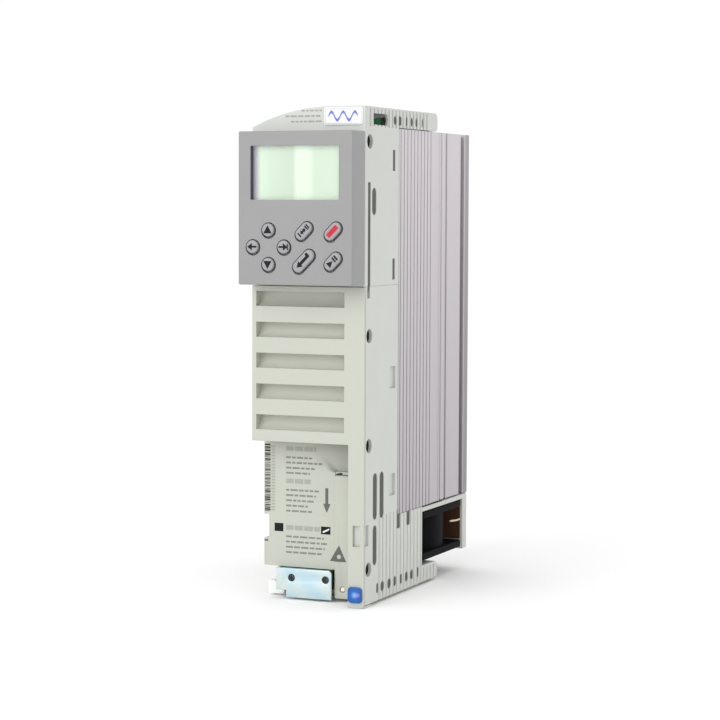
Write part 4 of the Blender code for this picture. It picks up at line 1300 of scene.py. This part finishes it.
def display():
    """Display behind its clear window, with a dark strip at each end of the opening: painted shade on the
    window's inner walls.
    """
    x0, z0, x1, z1 = WINDOW
    own = DISPLAY
    glass_back = own.y0 + 1.1
    body = block(own.x0, own.x1, glass_back + 0.02, own.y1, own.z0, own.z1, edge=0.3)
    place(body, "display_frame", "keypad", "connector_plastic")
    lap = 1.2  # how far the glass reaches behind the window's edge
    face = rounded(x0 - lap, z0 - lap, x1 + lap, z1 + lap, 0.5)
    face = solid("XZ", face, own.y0, glass_back, edge=0.1)
    place(face, "display_panel", "keypad", "display_glass", "display_module")
    lens = solid("XZ", rounded(LENS.x0, LENS.z0, LENS.x1, LENS.z1, 0.8), LENS.y0, LENS.y1, edge=0.15)
    place(lens, "display_lens", "keypad", "lens_plastic", "display_window")
    # Dark strips at the window's ends: painted shade on its inner walls.
    thin, clear = 0.3, 0.02
    strip = (KEYPAD.y0 + 0.4, LENS.y0 - 0.05, z0 + 0.3, z1 - 0.3)
    sides = [block(x0 + clear, x0 + thin, *strip), block(x1 - thin, x1 - clear, *strip)]
    place(gather(sides), "display_shade_strips", "keypad", "foam_gasket", slot="key_rubber")


def leaning(points, x, z, turn):
    """An outline drawn along and across a key, turned and moved to the key's middle."""
    a = math.radians(turn)
    return [(x + u * math.cos(a) - v * math.sin(a), z + u * math.sin(a) + v * math.cos(a)) for u, v in points]


def arrow(length, head, stem):
    """Arrow along the first axis, its middle at the origin."""
    end = length / 2
    neck = end - head
    return [(-end, -stem), (neck, -stem), (neck, -head * 0.75), (end, 0), (neck, head * 0.75), (neck, stem),
            (-end, stem)]


def signs():
    """Each key's sign: outlines along and across the key, the angle it is turned by, and its ink."""
    wedge = [(-1.65, -2.2), (2.15, 0), (-1.65, 2.2)]
    stop = rectangle(2.0, -1.4, 2.6, 1.4)
    swap = [(-2.0, 0), (-0.7, -1.25), (-0.7, -0.5), (0.3, -0.5), (0.3, -1.25), (1.6, 0)]
    swap += [(0.3, 1.25), (0.3, 0.5), (-0.7, 0.5), (-0.7, 1.25)]
    bars = [rectangle(u, -1.3, u + 0.7, 1.3) for u in (-3.1, 1.85, 2.85)]
    enter = [(-4.5, 0), (-1.9, -1.75), (-1.9, -0.75), (4.2, -0.75), (4.2, 1.7), (2.8, 1.7), (2.8, 0.75)]
    enter += [(-1.9, 0.75), (-1.9, 1.75)]
    play = [(-2.9, -1.6), (0.3, 0), (-2.9, 1.6)]
    pause = [rectangle(0.7, -1.4, 1.6, 1.4), rectangle(2.05, -1.4, 2.95, 1.4)]
    lean = 45
    return {
        "key_up": ([wedge], 90, "black_ink"),
        "key_down": ([wedge], -90, "black_ink"),
        "key_left": ([arrow(4.9, 2.4, 0.45)], 180, "black_ink"),
        "key_right": ([arrow(4.7, 2.4, 0.45), stop], 0, "black_ink"),
        "key_menu": ([swap, *bars], lean, "black_ink"),
        "key_stop": ([rounded(-3.4, -1.2, 3.4, 1.2, 0.3)], lean, "red_ink"),
        "key_enter": ([enter], lean, "black_ink"),
        "key_run": ([play, *pause], lean, "black_ink"),
    }


def keys():
    """Key caps with a rounded rim and a skirt behind the keypad's face, each with its printed sign."""
    stem_back, skirt_t = -151.6, 1.1
    for name in KEY_NAMES:
        own = span(name)
        top = own.y0 + PRINT_T
        outline = key_outline(name, -sizes().key_trim)
        cap = solid("XZ", outline, top, stem_back, edge=sizes().key_edge, steps=6)
        join(cap, solid("XZ", key_outline(name, SKIRT), own.y1 - skirt_t, own.y1, edge=0.15))
        place(cap, f"{name}_button", f"{name}_cap", "key_plastic", name)
        shapes, turn, ink = signs()[name]
        outlines = [leaning(shape, *centre(name), turn) for shape in shapes]
        drawn(f"{name}_sign", outlines, top, ink, f"{name}_cap", "key_plastic")


# ---------------------------------------------------------------- electronics


def capacitor(index):
    """Sleeved can with a rounded shoulder and a scored vent."""
    own = span(f"dc_capacitor_{index}")
    x, z = centre(f"dc_capacitor_{index}")
    radius = (own.x1 - own.x0) / 2
    can = solid("XZ", circle(x, z, radius, 64), own.y0, own.y1, edge=1.0, steps=5)
    cut(can, solid("XZ", circle(x, z, radius - 1.6, 64), own.y0 - 1, own.y0 + 0.4))
    reach = 3.2  # from the can's middle to the middle of each score line of the vent
    for turn in (20, 140, 260):
        a = math.radians(turn)
        middle = (x + reach * math.cos(a), z + reach * math.sin(a))
        cut(can, solid("XZ", stadium(*middle, 6.0, 0.5, turn), own.y0 - 1, own.y0 + 0.65))
    place(can, f"capacitor_can_{index}", "drive", "capacitor_sleeve", f"dc_capacitor_{index}")


def choke():
    """Ring core with two windings on it."""
    own = span("emc_choke")
    x, z = centre("emc_choke")
    y = (own.y0 + own.y1) / 2
    minor = (own.y1 - own.y0) / 2
    major = (own.x1 - own.x0) / 2 - minor
    wire = 0.55
    core = solid("XZ", circle(x, z, major + minor - 1.6, 72), y - minor + 1.4, y + minor - 1.4,
                 [circle(x, z, major - minor + 1.6, 48)], edge=0.5)
    place(core, "choke_core_ring", "drive", "module_plastic", slot="choke_core")
    turns, per_turn, spread = 11, 12, 124
    routes = []
    for side in (0, 180):
        route = []
        for i in range(turns * per_turn + 1):
            t = i / (turns * per_turn)
            around = math.radians(side - spread / 2 + spread * t)
            wind = math.tau * turns * t
            reach = major + (minor - wire) * math.cos(wind)
            route.append((x + reach * math.cos(around), y + (minor - wire) * math.sin(wind),
                          z + reach * math.sin(around)))
        routes.append(route)
    place(tube(routes, wire, 2), "choke_winding", "drive", "choke_core", "emc_choke")


def board_parts():
    """Small packages on the control board, behind the removable panel."""
    board = span("control_board")
    chance = random.Random(3)
    dark, pale = [], []
    for row in range(7):
        for column in range(5):
            x = -22.0 + 6.6 * column + chance.uniform(-0.4, 0.4)
            z = 31.0 + 6.4 * row
            width = chance.choice((1.6, 2.4, 4.2))
            depth = chance.choice((1.2, 2.4, 4.0))
            tall = chance.choice((0.8, 1.0, 1.6))
            part = block(x, x + width, board.y0 - tall, board.y0 - 0.02, z, z + depth, edge=0.12)
            (pale if row % 3 == 1 else dark).append(part)
    place(gather(dark), "board_packages", "drive", "module_plastic")
    place(gather(pale), "board_ceramics", "drive", "spacer_plastic")


def terminal_screws():
    """Clamp screws in the supply terminals, under the wire holes."""
    face = span("mains_terminals").y0
    for index, x in enumerate(WIRE_X, 1):
        z = 226.5 if x < -10 else 231.5  # the leftmost sits lower, under the arch
        head = solid("XZ", circle(x, z, 1.7, 32), face - 0.5, face - 0.02, edge=0.15)
        cut(head, block(x - 1.9, x + 1.9, face - 1, face - 0.25, z - 0.25, z + 0.25))
        place(head, f"supply_screw_{index}", "drive", "screw_steel")


KEPT_NODES = {
    "keypad_socket": "connector_plastic",
    "control_board": "board_laminate",
    "power_board": "board_laminate",
    "control_terminals": "terminal_plastic",
    "mains_terminals": "terminal_plastic",
    "motor_terminals": "terminal_plastic",
    "thermal_pad": "pad_rubber",
    "power_module": "module_plastic",
    "inrush_relay": "relay_plastic",
    "keypad_back": "keypad_back_plastic",
    "keypad_board": "board_laminate",
    "key_mat": "key_rubber",
    "keypad_plug": "connector_plastic",
}


def dress_nodes():
    """Finishes for the CAD nodes that are shown as they are."""
    kept = dict(KEPT_NODES)
    for index in range(1, 5):
        kept[f"spacer_{index}"] = "spacer_plastic"
        kept[f"board_screw_{index}"] = "screw_steel"
    for node, name in kept.items():
        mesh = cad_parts[node].data
        mesh.materials.clear()
        mesh.materials.append(finish(name))


# ---------------------------------------------------------------- stage


class StudioSettings(bpy.types.PropertyGroup):
    """Camera, lights and floor."""

    azimuth: FloatProperty(name="Azimuth", description="Camera's turn to the right of the front",
                           default=math.radians(23.457), subtype="ANGLE")
    pitch: FloatProperty(name="Pitch", description="How far the camera looks down",
                         default=math.radians(3.883), subtype="ANGLE")
    roll: FloatProperty(name="Roll", description="Camera's turn about its own axis",
                        default=math.radians(0.223), subtype="ANGLE")
    distance: millimetres("Distance", "From the camera to the point it looks at", 1100.0)
    aim: FloatVectorProperty(name="Aim", description="Point the camera looks at, in the drive's millimetres",
                             default=(8.093, -94.931, 115.649))
    lens: FloatProperty(name="Lens", description="Focal length on a 36 mm sensor", default=109.7)
    sky: FloatProperty(name="Sky", description="Strength of the white surroundings", default=1.03, min=0)
    key_light: FloatProperty(name="Key light", description="Power of the large soft light", default=7.0,
                             min=0, unit="POWER")


def studio_settings():
    """The camera and lights set in the scene."""
    return bpy.context.scene.studio_settings


def aim_at(obj, spot, target):
    """Puts a light at a spot, facing its target."""
    obj.location = spot
    obj.rotation_euler = (Vector(target) - Vector(spot)).to_track_quat("-Z", "Y").to_euler()


def softbox(name, spot, target, width, height, power):
    """A white rectangular light."""
    light = bpy.data.lights.new(name, "AREA")
    light.shape = "RECTANGLE"
    light.size = width
    light.size_y = height
    light.energy = power
    aim_at(link(bpy.data.objects.new(name, light)), spot, target)


def camera():
    """Camera turned, tilted and rolled about the point it looks at."""
    own = studio_settings()
    a, e, r = own.azimuth, own.pitch, own.roll
    ahead = Vector((-math.sin(a) * math.cos(e), math.cos(a) * math.cos(e), -math.sin(e)))
    level = Vector((math.cos(a), math.sin(a), 0))
    upright = level.cross(ahead)
    right = level * math.cos(r) + upright * math.sin(r)
    up = upright * math.cos(r) - level * math.sin(r)
    data = bpy.data.cameras.new("camera")
    data.lens = own.lens
    data.sensor_width = 36
    eye = link(bpy.data.objects.new("camera", data))
    turn = Matrix((right, up, -ahead)).transposed().to_4x4()
    eye.matrix_world = Matrix.Translation(to_row(own.aim) - ahead * own.distance * MM) @ turn
    bpy.context.scene.camera = eye


def lights():
    """White surroundings, two large soft lights and a narrow one that shows in the display window.

    Places of the large lights and sizes of all three are in metres, and powers in watts.
    """
    own = studio_settings()
    middle = to_row((0, -90, 120))
    display_middle = to_row((2, -152, 208))
    fill = 0.05  # power of the right light beside the key light's
    softbox("key_softbox", (-0.35, -1.3, 0.8), middle, 1.0, 1.0, own.key_light)
    softbox("right_softbox", (1.6, -0.3, 0.8), middle, 0.9, 1.2, own.key_light * fill)
    softbox("display_strip", to_row((-505, -1240, 215)), display_middle, 0.016, 0.7, 0.09)
    world = bpy.data.worlds.new("surroundings")
    world.use_nodes = True
    back = world.node_tree.nodes["Background"]
    back.inputs["Color"].default_value = tint(WHITE)
    back.inputs["Strength"].default_value = own.sky
    bpy.context.scene.world = world
    bpy.context.scene.view_settings.view_transform = "Standard"


def floor():
    """Wide sheet of pale paper under the drive."""
    half = 8.0  # metres
    mesh = bpy.data.meshes.new("floor")
    corners = [(x, y, 0) for x, y in rectangle(-half, -half, half, half)]
    mesh.from_pydata(corners, [], [(0, 1, 2, 3)])
    mesh.materials.append(matt_paper("background_paper", "FCFCFC"))
    link(bpy.data.objects.new("floor", mesh))


# ---------------------------------------------------------------- operators


class DRIVE_OT_stage(bpy.types.Operator):
    """Set up the camera, the soft lights and the pale floor"""

    bl_idname = "drive.stage"
    bl_label = "Stage"

    def execute(self, context):
        camera()
        lights()
        floor()
        return {"FINISHED"}


class DRIVE_OT_upper_housing(bpy.types.Operator):
    """Build the arched upper housing with its ribbed band"""

    bl_idname = "drive.upper_housing"
    bl_label = "Upper housing"

    def execute(self, context):
        upper_housing()
        return {"FINISHED"}


class DRIVE_OT_lower_housing(bpy.types.Operator):
    """Build the lower housing with its ribbed base"""

    bl_idname = "drive.lower_housing"
    bl_label = "Lower housing"

    def execute(self, context):
        lower_housing()
        return {"FINISHED"}


class DRIVE_OT_front_cover(bpy.types.Operator):
    """Build the louvred front cover and its column"""

    bl_idname = "drive.front_cover"
    bl_label = "Front cover"

    def execute(self, context):
        front_cover()
        return {"FINISHED"}


class DRIVE_OT_labels(bpy.types.Operator):
    """Build the title plate and the foot badge"""

    bl_idname = "drive.labels"
    bl_label = "Labels"

    def execute(self, context):
        name_plate()
        corner_badge()
        return {"FINISHED"}


class DRIVE_OT_terminal_cover(bpy.types.Operator):
    """Build the removable terminal panel with its printing"""

    bl_idname = "drive.terminal_cover"
    bl_label = "Terminal panel"

    def execute(self, context):
        terminal_cover()
        return {"FINISHED"}


class DRIVE_OT_module_cover(bpy.types.Operator):
    """Build the narrow module lid and its light pipe"""

    bl_idname = "drive.module_cover"
    bl_label = "Module lid"

    def execute(self, context):
        module_cover()
        return {"FINISHED"}


class DRIVE_OT_shield(bpy.types.Operator):
    """Build the zinc clamp plate, its screws and the lead clip"""

    bl_idname = "drive.shield"
    bl_label = "Clamp plate"

    def execute(self, context):
        shield()
        return {"FINISHED"}


class DRIVE_OT_heatsink(bpy.types.Operator):
    """Build the extruded heatsink"""

    bl_idname = "drive.heatsink"
    bl_label = "Heatsink"

    def execute(self, context):
        heatsink()
        return {"FINISHED"}


class DRIVE_OT_fan(bpy.types.Operator):
    """Build the fan cassette: housing, wheel, bracket and lead"""

    bl_idname = "drive.fan"
    bl_label = "Fan cassette"

    def execute(self, context):
        fan_frame()
        fan_rotor()
        fan_bracket()
        return {"FINISHED"}


class DRIVE_OT_keypad(bpy.types.Operator):
    """Build the keypad's case"""

    bl_idname = "drive.keypad"
    bl_label = "Keypad"

    def execute(self, context):
        keypad_case()
        return {"FINISHED"}


class DRIVE_OT_display(bpy.types.Operator):
    """Build the display, its window and its gasket"""

    bl_idname = "drive.display"
    bl_label = "Display"

    def execute(self, context):
        display()
        return {"FINISHED"}


class DRIVE_OT_keys(bpy.types.Operator):
    """Build the eight keys with their signs"""

    bl_idname = "drive.keys"
    bl_label = "Keys"

    def execute(self, context):
        keys()
        return {"FINISHED"}


class DRIVE_OT_electronics(bpy.types.Operator):
    """Build the capacitors, choke and board parts, and finish the other inner pieces"""

    bl_idname = "drive.electronics"
    bl_label = "Electronics"

    def execute(self, context):
        for index in (1, 2, 3):
            capacitor(index)
        choke()
        board_parts()
        terminal_screws()
        dress_nodes()
        return {"FINISHED"}


OPERATORS = (
    DRIVE_OT_stage,
    DRIVE_OT_upper_housing,
    DRIVE_OT_lower_housing,
    DRIVE_OT_front_cover,
    DRIVE_OT_labels,
    DRIVE_OT_terminal_cover,
    DRIVE_OT_module_cover,
    DRIVE_OT_shield,
    DRIVE_OT_heatsink,
    DRIVE_OT_fan,
    DRIVE_OT_keypad,
    DRIVE_OT_display,
    DRIVE_OT_keys,
    DRIVE_OT_electronics,
)
GROUPS = {"drive_sizes": DriveSizes, "drive_colours": DriveColours, "studio_settings": StudioSettings}


class DRIVE_PT_panel(bpy.types.Panel):
    """Lists the pieces of the drive and the sizes and colours they are built with"""

    bl_idname = "DRIVE_PT_panel"
    bl_label = "Frequency drive"
    bl_space_type = "VIEW_3D"
    bl_region_type = "UI"
    bl_category = "Drive"

    def draw(self, context):
        for operator in OPERATORS:
            self.layout.operator(operator.bl_idname)
        for attribute, group in GROUPS.items():
            column = self.layout.box().column()
            for name in group.__annotations__:
                column.prop(getattr(context.scene, attribute), name)


def register():
    for owner in (*GROUPS.values(), *OPERATORS, DRIVE_PT_panel):
        bpy.utils.register_class(owner)
    for attribute, group in GROUPS.items():
        setattr(bpy.types.Scene, attribute, PointerProperty(type=group))


def unregister():
    for attribute in GROUPS:
        delattr(bpy.types.Scene, attribute)
    for owner in reversed((*GROUPS.values(), *OPERATORS, DRIVE_PT_panel)):
        bpy.utils.unregister_class(owner)


def main():
    register()
    for operator in OPERATORS:
        group, name = operator.bl_idname.split(".")
        getattr(getattr(bpy.ops, group), name)()


if __name__ == "__main__":
    main()
